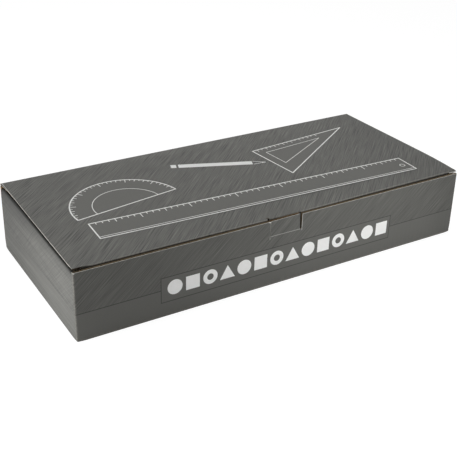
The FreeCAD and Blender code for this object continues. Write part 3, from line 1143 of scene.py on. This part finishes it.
@dataclass
class Carton:
    """The folded carton: its panels, their print and the drawing on them."""

    ear_inset: float = 2.9
    ear_inset_left: float = 3.4
    flap_round: float = 9.0
    tab_pinch: float = 1.6
    slot_clearance: float = 0.3
    tongue_offset: float = 52.0
    tongue_half: float = 13.0
    ink_lift: float = 0.04
    window_margin: float = 6.0
    hinge_strip: float = 2.6
    even_step: Pair = (24.0, 21.0)
    fold_steps: Tuple[float, ...] = (5.4, 8.0, 26.0, 44.0)
    tab_steps: Tuple[float, ...] = (2.0, 5.0, 9.0, 14.0)
    roll_heights: Tuple[float, ...] = (60.0, 66.0)
    flap_root: float = 2.5
    ear_gap: float = 2.0
    top_fold_end: float = 95.0
    corner_steps: Tuple[float, ...] = (3.0, 6.0, 9.5, 14.0)
    height_steps: Tuple[float, ...] = (5.5, 8.5, 12.0, 17.0, 60.0, 64.0, 68.0, 71.0)

    def __post_init__(self) -> None:
        """Makes the papers that the panels share."""
        self.crush, self.lean, self.taper, self.spring = CornerCrush(), WallLean(), LidTaper(), LidSpring()
        self.drawing = LidDrawing(self.spring)
        self.edge_paper = BrownPaper("paper_cut_edge", srgb(226, 224, 216), srgb(196, 191, 178)).build()
        # Painted shade: the fluted paper is darker than the real kraft, for the shade inside the flutes.
        self.flute_paper_shaded = BrownPaper("fluted_paper_painted_shade", srgb(112, 90, 63), srgb(86, 67, 46)).build()
        self.kraft_edge = BrownPaper("kraft_cut_edge", srgb(164, 138, 103), srgb(136, 110, 78)).build()
        self.kraft = {
            axis: BrownPaper("kraft_liner_" + "xyz"[axis], srgb(176, 143, 101), srgb(152, 119, 80), axis).build()
            for axis in (0, 2)
        }
        self.prints = {finish.name: finish.build() for finish in self.print_finishes()}

    def print_finishes(self) -> Tuple[PrintedPaper, ...]:
        """The print of each panel."""
        half, deep, top, foot = SIZE.half_length, SIZE.half_depth, SIZE.wall_height, SIZE.tab_foot
        slit_left, slit_right = SIZE.tab_window
        tilt = self.taper.most / (2 * deep)
        left_rim = (0, self.taper.most / 2 - SIZE.lid_left, 0.26, 0.85, tilt)
        ends = across_both(0, half)
        brushed = {"stroke_depth": 1.6, "stroke_scale": 1.1}
        # Painted shade towards the right end of the lid and of its right ear.
        shade_to_right = {"painted_shade_right": (120.0, 0.16)}
        end = {"plane": Plane.END, "ripple_axis": 2, "banded": True, "line_level": 0.86, "end_shade": True}
        return (
            PrintedPaper(
                "print_front", plane=Plane.WALL, slant=42.0, banded=True, titled=True, stroke_depth=0.82,
                # Painted shade darkens the front towards its right end.
                painted_shade_right=(185.0, 0.14), worn_folds=ends, bare_rims=((2, top, 0.3, 0.4, 0.0),),
                cut_marks=((slit_left - 0.25, foot - 3.2, foot, 0.4), (slit_left - 0.25, foot, top, 0.1),
                           (slit_right + 0.3, foot - 1.8, top, 0.5)),
                torn_spots=((slit_left - 0.7, top - 0.6, 1.0), (slit_left - 2.2, top - 0.3, 0.8),
                            (1.1 - half, top - 0.5, 0.9))),
            PrintedPaper("print_back", plane=Plane.WALL, slant=138.0, banded=True, stroke_depth=1.0, worn_folds=ends),
            PrintedPaper("print_lock_tab", plane=Plane.WALL, slant=42.0, stroke_depth=1.0,
                         bare_rims=((2, foot, 0.45, 0.5, 0.0), (2, top, 0.3, 0.3, 0.0))),
            PrintedPaper("print_lid", fields=self.drawing.fields, pale_back=36.0, **brushed, **shade_to_right,
                         bare_rims=(left_rim, (0, SIZE.lid_right, 0.42, 1.0, 0.0),
                                    # A faint pale line runs along the front fold.
                                    (1, SIZE.lid_front + 0.3, 0.5, 0.12, 0.0))),
            PrintedPaper("print_lid_ear_right", **brushed, **shade_to_right,
                         bare_rims=((0, SIZE.lid_right, 0.42, 0.6, 0.0),
                                    (1, self.ear_inset - deep + 0.3, 0.5, 0.5, 0.0))),
            PrintedPaper("print_lid_ear_left", **brushed, bare_rims=(left_rim,)),
            PrintedPaper("print_floor", worn_folds=across_both(1, deep)),
            PrintedPaper("print_left", slant=139.0, stroke_depth=0.7, flute_ridge_shade=1.1, **end),
            PrintedPaper("print_right", slant=41.0, stroke_depth=0.6, flute_ridge_shade=0.5, **end),
        )

    def papers(self, print_name: str, ripple_axis: int = 0) -> List[bpy.types.Material]:
        """The five materials of a panel."""
        return [self.prints["print_" + print_name], self.edge_paper, self.kraft[ripple_axis], self.kraft_edge,
                self.flute_paper_shaded]

    def panel(self, name: str, printed: Side, sheets: Sequence[bpy.types.Material], box: Optional[Box] = None,
              body: str = "tray", **options: object) -> bpy.types.Object:
        """Makes one panel, which stands for a CAD node if there is one of its name.

        Args:
            name: Its name, after the carton's.
            printed: The side that shows the print.
            sheets: Its materials.
            box: Its box, where that isn't the node's.
            body: The body that it rides on.
            options: More fields of the panel.

        Returns:
            The panel's object.
        """
        node = NODE_NAMES.get(name, name)
        fitting = Fitting(body, "carton_board", (node,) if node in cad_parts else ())
        return BoardPanel("carton_" + name, fitting, box or node_box(node), printed, **options).build(sheets)

    def corner_cuts(self, *axes: int) -> Tuple[Cut, ...]:
        """Cuts near the carton's corners, where they are knocked in and roll."""
        ends = {0: SIZE.half_length, 1: SIZE.half_depth}
        cuts = [cut for axis in axes if axis in ends
                for cut in across_both(axis, *(ends[axis] - step for step in self.corner_steps))]
        return (*cuts, *((2, z) for z in self.height_steps if 2 in axes))

    def floor_and_walls(self) -> None:
        """The floor, front wall, back wall and lock tab."""
        low_x, high_x = SIZE.tab_window
        foot, inner = SIZE.tab_foot, SIZE.half_length - SIZE.side_stack
        slot_x = (inner - self.slot_clearance, inner + SIZE.board + self.slot_clearance)
        reach = self.tongue_half + self.slot_clearance
        slot_y = (self.tongue_offset - reach, self.tongue_offset + reach)
        slots = tuple(
            span_box([side * x for x in slot_x], [way * y for y in slot_y])
            for side in BOTH for way in BOTH)
        ends, faces = (Side.LEFT, Side.RIGHT), (Side.FRONT, Side.BACK)
        self.panel(
            "floor", Side.BOTTOM, self.papers("floor"), crease_radius=1.0, shapings=(self.crush,),
            creases=folds(Side.BOTTOM, *ends, *faces) + folds(Side.FRONT, *ends) + folds(Side.BACK, *ends),
            cuts=across_both(0, *slot_x) + across_both(1, *slot_y) + self.corner_cuts(0, 1), holes=slots)
        inner_edge = BrownPaper("front_inner_edge", srgb(140, 123, 97), srgb(108, 95, 74)).build()
        low, high = node_box("front_wall")
        self.panel(
            "front_wall", Side.FRONT, self.papers("front")[:3] + [inner_edge, inner_edge],
            box=((low[0], low[1] + self.ink_lift, low[2]), high), flute_axis=2, raw=(Side.TOP,), wave_inset=6.5,
            creases=folds(Side.FRONT, *ends), crease_radius=1.4, shapings=(self.crush, self.lean),
            cuts=tuple((0, x) for x in (low_x - self.window_margin, low_x, high_x, high_x + self.window_margin))
            + ((2, foot),) + self.corner_cuts(0, 2),
            holes=(span_box((low_x, high_x), zs=(foot, FAR)),),
            hollows=(span_box((low_x - self.window_margin, high_x + self.window_margin), zs=(foot, FAR)),))
        self.panel(
            "back_wall", Side.BACK, self.papers("back"), crease_radius=1.4,
            creases=folds(Side.BACK, *ends), cuts=self.corner_cuts(0, 2),
            shapings=(self.crush, self.lean))
        low, high = node_box("front_lock_tab")
        self.panel(
            "lock_tab", Side.FRONT, self.papers("lock_tab"), body="lock_tab",
            box=(low, (high[0] - self.tab_pinch, high[1], high[2])), flute_axis=2,
            raw=(Side.LEFT, Side.RIGHT, Side.TOP), cuts=tuple((2, foot + step) for step in self.tab_steps),
            shapings=(TabLean(),))

    def lid(self) -> None:
        """The lid with its two ears, and its tuck flap, sprung up a little."""
        front, behind = SIZE.lid_front, SIZE.lid_front + SIZE.board
        flap, wall_top, hinge = SIZE.flap_half, SIZE.wall_height, SIZE.half_depth - self.hinge_strip
        even_x, even_y = self.even_step
        columns = tuple((0, x * even_x) for x in range(-9, 10))
        dent, fold, slant = SlitDent(), CrushedFold(), SlantedCut()
        fade_cuts = across_both(0, flap - fold.end_fade)
        slant_cuts = across_both(0, SIZE.lid_left - slant.start)
        self.panel(
            "lid", Side.TOP, self.papers("lid"), body="lid", flute_axis=1, raw=(Side.LEFT, Side.RIGHT),
            box=((-SIZE.lid_left, front, wall_top), (SIZE.lid_right, SIZE.half_depth, SIZE.lid_top)),
            creases=folds(Side.TOP, Side.FRONT, Side.BACK), crease_radius=0.9, wave_inset=5.0,
            cuts=across_both(0, flap) + dent.cuts + tuple((1, front + step) for step in self.fold_steps)
            + fade_cuts + slant_cuts + ((1, behind), (1, hinge)) + columns
            + tuple((1, y * even_y) for y in range(-4, 5)),
            holes=tuple(span_box((side * flap, side * FAR), (-FAR, behind)) for side in BOTH),
            hollows=(span_box((-flap, flap), (-FAR, behind)), span_box(ys=(hinge, FAR))),
            shapings=(dent, fold, slant, self.taper, self.spring))
        # Painted shade: a dark kraft put on the left ear's cut edge and on both ears' underside, liner edges and
        # flutes, where they lie in shade.
        shade_kraft = BrownPaper("painted_shade_kraft_edge", srgb(66, 55, 41), srgb(48, 40, 30)).build()
        left_squeeze, right_squeeze = EarSqueeze(SIZE.lid_top, 0.45), EarSqueeze(wall_top, 0.5)
        for word, end, inset, edge_paper, shapings in (
                ("left", -SIZE.lid_left, self.ear_inset_left, shade_kraft, (slant, left_squeeze)),
                ("right", SIZE.lid_right, self.ear_inset, self.edge_paper, (slant, right_squeeze, fold))):
            self.panel(
                "lid_ear_" + word, Side.TOP, self.papers("lid_ear_" + word)[:1] + [edge_paper] + [shade_kraft] * 3,
                body="lid", flute_axis=1, raw=(Side.LEFT, Side.RIGHT, Side.FRONT, Side.BACK), wave_inset=3.0,
                box=span_box((math.copysign(flap, end), end), (inset - SIZE.half_depth, behind),
                             (wall_top, SIZE.lid_top)),
                cuts=slant_cuts + ((1, front - self.ear_gap),), shapings=(*shapings, self.taper, self.spring),
                hollows=(span_box(ys=(-FAR, front - self.ear_gap)),))
        tuck_flap = self.panel(
            "tuck_flap", Side.FRONT, self.papers("back"), body="tuck_flap", flute_axis=2,
            box=((-flap, front, wall_top - SIZE.flap_length), (flap, behind, wall_top)), raw=(Side.TOP,),
            corner_round=self.flap_round, cuts=dent.cuts + fade_cuts + ((2, wall_top - self.flap_root),) + columns,
            shapings=(dent, fold, self.spring))
        FoldRoom().give(tuck_flap)

    def side_walls(self) -> None:
        """The rolled side walls: outer ply, folded top, inner ply and the corner flaps between them."""
        inner_cuts = tuple((2, height) for height in self.roll_heights)
        for word, outward, inward in (("left", Side.LEFT, Side.RIGHT), ("right", Side.RIGHT, Side.LEFT)):
            sheets = self.papers(word, 2)
            self.panel("side_wall_outer_" + word, outward, sheets, cuts=self.corner_cuts(1, 2),
                       shapings=(self.crush, self.lean))
            self.panel("side_wall_top_fold_" + word, Side.TOP, sheets, creases=folds(Side.TOP, outward, inward),
                       cuts=across_both(1, self.top_fold_end), shapings=(self.lean,))
            node = "side_wall_inner_" + word
            low, high = node_box(node)
            tongues = tuple(
                span_box((low[0], high[0]), (way * self.tongue_offset - self.tongue_half,
                                             way * self.tongue_offset + self.tongue_half), (low[2], SIZE.board))
                for way in BOTH)
            self.panel(node, inward, sheets, box=((low[0], low[1], SIZE.board), high), extra_blocks=tongues,
                       cuts=inner_cuts, shapings=(self.lean,))
            for place, bare in (("front", Side.BACK), ("back", Side.FRONT)):
                self.panel("corner_flap_%s_%s" % (place, word), outward, sheets, flute_axis=1, raw=(bare,),
                           cuts=inner_cuts, shapings=(self.lean,))

    def build(self) -> None:
        """Makes the whole carton."""
        self.floor_and_walls()
        self.lid()
        self.side_walls()
        self.drawing.build()
        TitleRow().build()


# Print on the carton
class InkSheet:
    """Flat printed shapes in one plane, made of simple outlines."""

    def __init__(self) -> None:
        """Starts with an empty sheet."""
        self.bm = bmesh.new()

    def bar(self, start: Pair, end: Pair, width: float) -> None:
        """A straight stroke of the width from start to end."""
        a, b = Vector(start), Vector(end)
        length = (b - a).length
        turn = Matrix.Rotation(math.atan2(b.y - a.y, b.x - a.x), 4, "Z")
        place = Matrix.Translation(((a + b) / 2).to_3d()) @ turn @ Matrix.Diagonal((length / 2, width / 2, 1.0, 1.0))
        bmesh.ops.create_grid(self.bm, x_segments=max(1, round(length / 12)), y_segments=1, size=1.0, matrix=place)

    def outline(self, points: Sequence[Pair], width: float) -> None:
        """Closed run of strokes through the points, with square joints."""
        for start, end in zip(points, [*points[1:], points[0]]):
            a, b = Vector(start), Vector(end)
            reach = (b - a).normalized() * (width / 2)
            self.bar(a - reach, b + reach, width)

    def arc(self, centre: Pair, radius: float, start: float, sweep: float, width: float) -> None:
        """A stroke along part of a circle.

        Args:
            centre: The circle's middle.
            radius: The stroke's middle line.
            start: Where it starts, in degrees from +X.
            sweep: How far it turns, in degrees.
            width: The stroke's width.
        """
        turn = Matrix.Rotation(math.radians(start), 4, "Z")
        middle = Vector((*centre, 0.0))
        verts = [self.bm.verts.new(middle + turn @ unit(0, radius + side * width / 2)) for side in BOTH]
        edge = self.bm.edges.new(verts)
        bmesh.ops.spin(self.bm, geom=[edge, *verts], cent=middle, axis=(0, 0, 1), angle=math.radians(sweep),
                       steps=max(6, round(sweep / 6)), use_merge=abs(sweep) >= 360)

    def patch(self, centre: Pair, radius: float, corners: int, turn: float = 0.0) -> None:
        """A filled disc or regular shape with that many corners."""
        place = Matrix.Translation(Vector((*centre, 0.0))) @ Matrix.Rotation(turn, 4, "Z")
        bmesh.ops.create_circle(self.bm, cap_ends=True, segments=corners, radius=radius, matrix=place)

    def finish(self, name: str, ink: bpy.types.Material, body: str, lay: Shaping, thickness: float = 0.03) -> None:
        """Lays the flat sheet in place and gives it the ink's thickness.

        Args:
            name: The piece's name.
            ink: Its material.
            body: The body that it rides on.
            lay: Moves a point of the flat sheet to its place.
            thickness: The ink's thickness.
        """
        bmesh.ops.remove_doubles(self.bm, verts=self.bm.verts, dist=TOUCH)
        for face in self.bm.faces:
            if face.normal.z < 0:
                face.normal_flip()
        for vert in self.bm.verts:
            vert.co = lay(vert.co)
        add_wall(Fitting(body, "carton_board").place(self.bm, name, [ink]), thickness)


@dataclass
class LidDrawing:
    """White line drawing of drafting tools on the lid: ruler, set square, protractor and pencil."""

    spring: LidSpring
    line: float = 1.5
    fine: float = 0.85
    lift: float = 0.03
    ruler: ToolField = ToolField((4.0, -54.0), -0.045, (196.0, 17.0))
    ruler_ticks: int = 56
    ruler_lengths: TickSteps = ((8, 9.0), (4, 6.5), (1, 4.2))
    ruler_inset: float = 3.4
    ruler_hole: Triple = (9.0, -2.0, 3.0)
    square: ToolField = ToolField((132.0, 24.0), 0.1, (72.0, 38.0), cut_corner=True)
    square_pitch: float = 6.6
    square_lengths: TickSteps = ((2, 3.2), (1, 5.0))
    protractor: ToolField = ToolField((-136.0, -6.0), 0.16, round_radius=62.0)
    protractor_inside: float = 0.62
    protractor_lengths: TickSteps = ((6, 7.0), (2, 4.6), (1, 3.0))
    pencil_from: Pair = (-52.0, 60.0)
    pencil_to: Pair = (52.0, 20.0)
    pencil_width: float = 9.0

    @property
    def fields(self) -> Tuple[ToolField, ...]:
        """The patches inside the tools, which are left plain."""
        return self.ruler, self.square, self.protractor

    def lay(self, at: Vector) -> Vector:
        """A point of the drawing on the sprung lid."""
        return self.spring(Vector((at.x, at.y, SIZE.lid_top + self.lift)))

    def ticks(self, sheet: InkSheet, tool: ToolField, marks: Iterable[Pair]) -> None:
        """Ticks from the tool's far edge, each given as its place and its length."""
        top = tool.half[1]
        for u, length in marks:
            sheet.bar(tool.at(u, top), tool.at(u, top - length), self.fine)

    def length(self, index: int, lengths: TickSteps) -> float:
        """A tick's length, which is that of the first step that its number is a multiple of."""
        return next(length for step, length in lengths if index % step == 0)

    def draw_ruler(self) -> InkSheet:
        """The ruler, with ticks along its far edge."""
        sheet, at = InkSheet(), self.ruler.at
        u, v = self.ruler.half
        sheet.outline([at(-u, -v), at(u, -v), at(u, v), at(-u, v)], self.line)
        sheet.bar(at(-u, -v + self.ruler_inset), at(u, -v + self.ruler_inset), self.fine)
        self.ticks(sheet, self.ruler, (
            (-u + 2 * u * index / self.ruler_ticks, self.length(index, self.ruler_lengths))
            for index in range(1, self.ruler_ticks)))
        from_end, across, radius = self.ruler_hole
        sheet.arc(at(u - from_end, across), radius, 0.0, 360.0, self.fine)
        return sheet

    def draw_set_square(self) -> InkSheet:
        """The set square, with a smaller outline inside it."""
        sheet, at = InkSheet(), self.square.at
        u, v = self.square.half
        sheet.outline([at(-u, v), at(-u, -v), at(u, v)], self.line)
        sheet.outline([at(-u + 12, v - 12), at(-u + 12, -v + 27), at(u - 47, v - 12)], self.fine)
        self.ticks(sheet, self.square, (
            (-u + index * self.square_pitch, self.length(index, self.square_lengths)) for index in range(1, 16)))
        return sheet

    def draw_protractor(self) -> InkSheet:
        """The half-round protractor, with ticks round its edge."""
        sheet, at = InkSheet(), self.protractor.at
        radius, turn = self.protractor.round_radius, math.degrees(self.protractor.turn)
        sheet.arc(self.protractor.centre, radius, turn, 180.0, self.line)
        sheet.arc(self.protractor.centre, radius * self.protractor_inside, turn, 180.0, self.fine)
        sheet.bar(at(-radius, 0.0), at(radius, 0.0), self.line)
        for index in range(1, 36):
            way = math.cos(math.radians(index * 5)), math.sin(math.radians(index * 5))
            inner = radius - self.length(index, self.protractor_lengths)
            sheet.bar(at(radius * way[0], radius * way[1]), at(inner * way[0], inner * way[1]), self.fine)
        return sheet

    def draw_pencil(self) -> InkSheet:
        """The solid pencil with its cut tip and rubber."""
        sheet = InkSheet()
        start, end = Vector(self.pencil_from), Vector(self.pencil_to)
        way = (end - start).normalized()
        across = Vector((-way.y, way.x)) * (self.pencil_width / 2)
        sheet.bar(start + way * 9, end - way * 15, self.pencil_width)
        sheet.bar(start, start + way * 6.5, self.pencil_width * 0.94)
        for side in BOTH:
            sheet.bar(end - way * 14 + across * side * 0.92, end + across * side * 0.05, self.fine)
        sheet.bar(end - way * 3.2, end + way * 1.0, 1.8)
        return sheet

    def build(self) -> None:
        """Prints the whole drawing."""
        line_ink = ShapeInk("drawing_ink", srgb(250, 250, 247)).build()
        solid_ink = ShapeInk("pencil_ink", srgb(248, 248, 246)).build()
        for word, sheet, ink in (
                ("ruler", self.draw_ruler(), line_ink), ("set_square", self.draw_set_square(), line_ink),
                ("protractor", self.draw_protractor(), line_ink), ("pencil", self.draw_pencil(), solid_ink)):
            sheet.finish("lid_drawing_" + word, ink, "lid", self.lay)


class Mark(Enum):
    """The shapes of the title row."""

    DISC = 0
    SQUARE = 1
    RING = 2
    TRIANGLE = 3


@dataclass
class TitleRow:
    """A plain row of round, square and three-cornered shapes in the front wall's title frame."""

    height: float = 18.4
    pitch: float = 20.3
    count: int = 14
    shift: Pair = (1.8, 0.8)
    lift: float = 0.005

    def stamp(self, sheet: InkSheet, mark: Mark, x: float) -> None:
        """Prints one shape.

        Args:
            sheet: The sheet that it goes on.
            mark: Which shape.
            x: Its middle.
        """
        half = self.height / 2
        if mark is Mark.DISC:
            sheet.patch((x, 0.0), half * 0.92, 48)
        elif mark is Mark.SQUARE:
            sheet.patch((x, 0.0), half * 0.86 * math.sqrt(2), 4, math.pi / 4)
        elif mark is Mark.RING:
            sheet.arc((x, 0.0), half * 0.66, 0.0, 360.0, half * 0.5)
        else:
            sheet.patch((x, -half * 0.26), half * 1.12, 3)

    def lay(self, at: Vector) -> Vector:
        """A point of the row on the front wall."""
        left, right, bottom, top = SIZE.title_frame
        return Vector(((left + right) / 2 + self.shift[0] + at.x, self.lift - SIZE.half_depth,
                       (bottom + top) / 2 + self.shift[1] + at.y))

    def build(self) -> None:
        """Prints the row."""
        sheet, order = InkSheet(), list(Mark)
        for index in range(self.count):
            self.stamp(sheet, order[index % len(order)], (index - (self.count - 1) / 2) * self.pitch)
        sheet.finish("title_shapes", ShapeInk("title_ink", srgb(254, 254, 252)).build(), "tray", self.lay)


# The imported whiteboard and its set
@dataclass
class RefinedNode:
    """A CAD piece given finely rounded edges."""

    node: str
    slot: str
    material: bpy.types.Material
    edge_radius: float
    body: str = "tray"
    merge: float = 0.002
    flat_angle: float = 1.0
    sharp_angle: float = 30.0
    shading_angle: float = 40.0
    round_steps: int = 2

    def mesh(self) -> bmesh.types.BMesh:
        """A merged copy of the node's mesh in millimetres, in flat faces."""
        bm = bmesh.new()
        bm.from_mesh(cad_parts[self.node].data)
        bmesh.ops.scale(bm, vec=(1 / MM, 1 / MM, 1 / MM), verts=bm.verts)
        bmesh.ops.remove_doubles(bm, verts=bm.verts, dist=self.merge)
        bmesh.ops.dissolve_limit(bm, angle_limit=math.radians(self.flat_angle), verts=bm.verts, edges=bm.edges)
        for face in bm.faces:
            face.material_index = 0
        return bm

    def build(self) -> bpy.types.Object:
        """Makes the piece."""
        bm = self.mesh()
        sharp = [edge for edge in bm.edges if len(edge.link_faces) == 2
                 and edge.calc_face_angle(0.0) > math.radians(self.sharp_angle)]
        if self.edge_radius and sharp:
            bmesh.ops.bevel(bm, geom=sharp, offset=self.edge_radius, offset_type="OFFSET",
                            segments=self.round_steps, profile=0.5, affect="EDGES", material=-1, clamp_overlap=True)
        mark_corners(bm, self.shading_angle)
        piece = Fitting(self.body, self.slot, (self.node,)).place(bm, self.node + "_piece", [self.material])
        even_shading(piece)
        return piece


@dataclass
class PackedSet:
    """The whiteboard, marker, eraser, magnets and leaflet between two foam inserts."""

    ring_spans: Tuple[Pair, ...] = ((6.0, 8.5), (10.0, 11.0))
    leaflet_margin: float = 14.0

    def finishes(self) -> Dict[str, Finish]:
        """The finishes of the contents, by their slots."""
        barrel_end = node_box("marker_barrel")[0][0]
        rings = tuple((barrel_end + start, barrel_end + end) for start, end in self.ring_spans)
        low, high = node_box("leaflet")
        middle = ((low[0] + high[0]) / 2, (low[1] + high[1]) / 2)
        half = ((high[0] - low[0]) / 2 - self.leaflet_margin, (high[1] - low[1]) / 2 - self.leaflet_margin)
        return {
            "whiteboard_body": Plastic("board_body_plastic", srgb(122, 123, 122), 0.48),
            "whiteboard_trim": Plastic("board_trim_plastic", srgb(70, 71, 72), 0.42),
            "writing_enamel": Enamel("writing_enamel", srgb(238, 240, 240)),
            "foot_rubber": Plastic("foot_rubber", srgb(44, 44, 45), 0.72, 2.4, 0.08, 0.02),
            "foam": Foam("insert_foam", srgb(236, 236, 233)),
            "marker_body": BandedBarrel("marker_barrel_plastic", srgb(232, 232, 230), srgb(36, 37, 40), rings),
            "marker_ink_colour": Plastic("marker_cap_plastic", srgb(34, 35, 38), 0.22, 1.0, 0.02),
            "nib_felt": Felt("marker_nib_felt", srgb(30, 30, 33), srgb(52, 52, 56)),
            "eraser_felt": Felt("eraser_felt", srgb(118, 120, 124), srgb(160, 162, 166)),
            "eraser_shell": Plastic("eraser_shell_plastic", srgb(62, 64, 68), 0.36),
            "magnet_shell": Plastic("magnet_plastic", srgb(48, 49, 52), 0.28, 1.2, 0.02),
            "leaflet_paper": LeafletPaper("leaflet_paper", srgb(236, 235, 230), middle, half),
        }

    def build(self) -> None:
        """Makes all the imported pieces."""
        looks = {slot: finish.build() for slot, finish in self.finishes().items()}
        for slot, radius, nodes in (
                ("foam", 1.2, "end_insert_left end_insert_right"),
                ("whiteboard_body", 0.4, "whiteboard_base_plate"),
                ("whiteboard_body", 0.3, "whiteboard_ledge_rim whiteboard_face_core"),
                ("whiteboard_body", 0.4, "whiteboard_back_plate whiteboard_top_channel"),
                ("whiteboard_trim", 0.5, "whiteboard_end_cap_left whiteboard_end_cap_right"),
                ("writing_enamel", 0.0, "whiteboard_writing_sheet"), ("foot_rubber", 0.0, "whiteboard_feet"),
                ("marker_body", 0.25, "marker_barrel"), ("marker_ink_colour", 0.25, "marker_end_plug"),
                ("nib_felt", 0.5, "marker_nib"), ("eraser_felt", 0.5, "eraser_felt"),
                ("eraser_shell", 0.5, "eraser_grip"), ("magnet_shell", 0.3, "board_magnets"),
                ("leaflet_paper", 0.0, "leaflet"), ("marker_ink_colour", 0.25, "marker_cap")):
            for node in nodes.split():
                body = "cap" if node == "marker_cap" else "tray"
                piece = RefinedNode(node, slot, looks[slot], radius, body).build()


# Room, lamps and camera
@dataclass(frozen=True)
class Lamp:
    """A soft rectangular lamp that looks at a point."""

    name: str
    place: Triple
    aim: Triple
    size: Pair
    watts: float

    def build(self) -> None:
        """Hangs the lamp."""
        light = bpy.data.lights.new(self.name, "AREA")
        light.shape = "RECTANGLE"
        light.size, light.size_y = self.size
        light.energy = self.watts
        lamp = new_object(self.name, light)
        lamp.visible_camera = False
        lamp.location = self.place
        lamp.rotation_euler = (Vector(self.aim) - Vector(self.place)).to_track_quat("-Z", "Y").to_euler()


@dataclass
class Studio:
    """A white floor and surroundings, soft lamps, and the camera of the photograph, in metres and degrees."""

    world_level: float = 0.09
    floor_glow: float = 1.19
    floor_share: float = 0.78
    floor_grey: float = 0.86
    floor_half: float = 30.0
    floor_lift: float = 0.0001
    camera_place: Triple = (-0.47743, -0.76531, 0.49171)
    camera_azimuth: float = 31.5327
    camera_elevation: float = 27.9081
    camera_roll: float = 1.5605
    lens: float = 68.704
    lamps: Tuple[Lamp, ...] = (
        Lamp("top_lamp", (-0.1, 0.35, 1.7), (0.0, 0.0, 0.04), (1.2, 1.2), 15.2),
        Lamp("side_lamp", (-0.42, -0.09, 0.09), (-0.24, -0.07, 0.03), (0.12, 0.10), 0.37),
        Lamp("near_lamp", (0.13, -0.42, 0.16), (0.12, -0.107, 0.04), (0.2, 0.2), 0.6),
    )

    def seen_white(self, bench: Bench) -> Wire:
        """1 where the camera, a reflection or a clear piece looks at the surface."""
        rays = bench.node("ShaderNodeLightPath", {}).outputs
        return highest([Wire(bench, rays[name]) for name in ("Is Camera Ray", "Is Glossy Ray", "Is Transmission Ray")])

    def floor(self) -> None:
        """The plain pale floor, which keeps the object's shadow."""
        bench = Bench(bpy.data.materials.new("floor_white"))
        paint = bench.wire("ShaderNodeBsdfDiffuse", {"Color": (self.floor_grey,) * 3})
        glow = bench.wire("ShaderNodeEmission", {"Color": (1.0, 1.0, 1.0), "Strength": self.floor_glow})
        share = self.seen_white(bench) * self.floor_share
        bench.end("ShaderNodeOutputMaterial", bench.wire("ShaderNodeMixShader", {0: share, 1: paint, 2: glow}))
        bm = bmesh.new()
        bmesh.ops.create_grid(bm, x_segments=1, y_segments=1, size=self.floor_half)
        floor = mesh_object("studio_floor", bm, [bench.owner])
        floor.location.z = self.floor_lift

    def surroundings(self) -> None:
        """White surroundings that light the object softly."""
        world = bpy.data.worlds.new("studio_white")
        bpy.context.scene.world = world
        bench = Bench(world)
        strength = self.seen_white(bench) * (1.0 - self.world_level) + self.world_level
        light = bench.wire("ShaderNodeBackground", {"Color": (1.0, 1.0, 1.0), "Strength": strength})
        bench.end("ShaderNodeOutputWorld", light)

    def camera(self) -> None:
        """The camera at the photograph's place."""
        data = bpy.data.cameras.new("photo_camera")
        data.lens = self.lens
        data.sensor_width = 36.0
        data.clip_start = 0.01
        camera = new_object("photo_camera", data)
        turn, tip, roll = (
            Matrix.Rotation(math.radians(angle), 4, axis)
            for angle, axis in ((-self.camera_azimuth, "Z"), (90.0 - self.camera_elevation, "X"),
                                (self.camera_roll, "Z")))
        camera.matrix_world = Matrix.Translation(self.camera_place) @ turn @ tip @ roll
        bpy.context.scene.camera = camera

    def build(self) -> None:
        """Sets up the room."""
        self.floor()
        self.surroundings()
        self.camera()
        for lamp in self.lamps:
            lamp.build()
        bpy.context.scene.view_settings.view_transform = "Standard"


def main() -> None:
    """Builds the object and its surroundings, in order."""
    Carton().build()
    PackedSet().build()
    Studio().build()


if __name__ == "__main__":
    main()
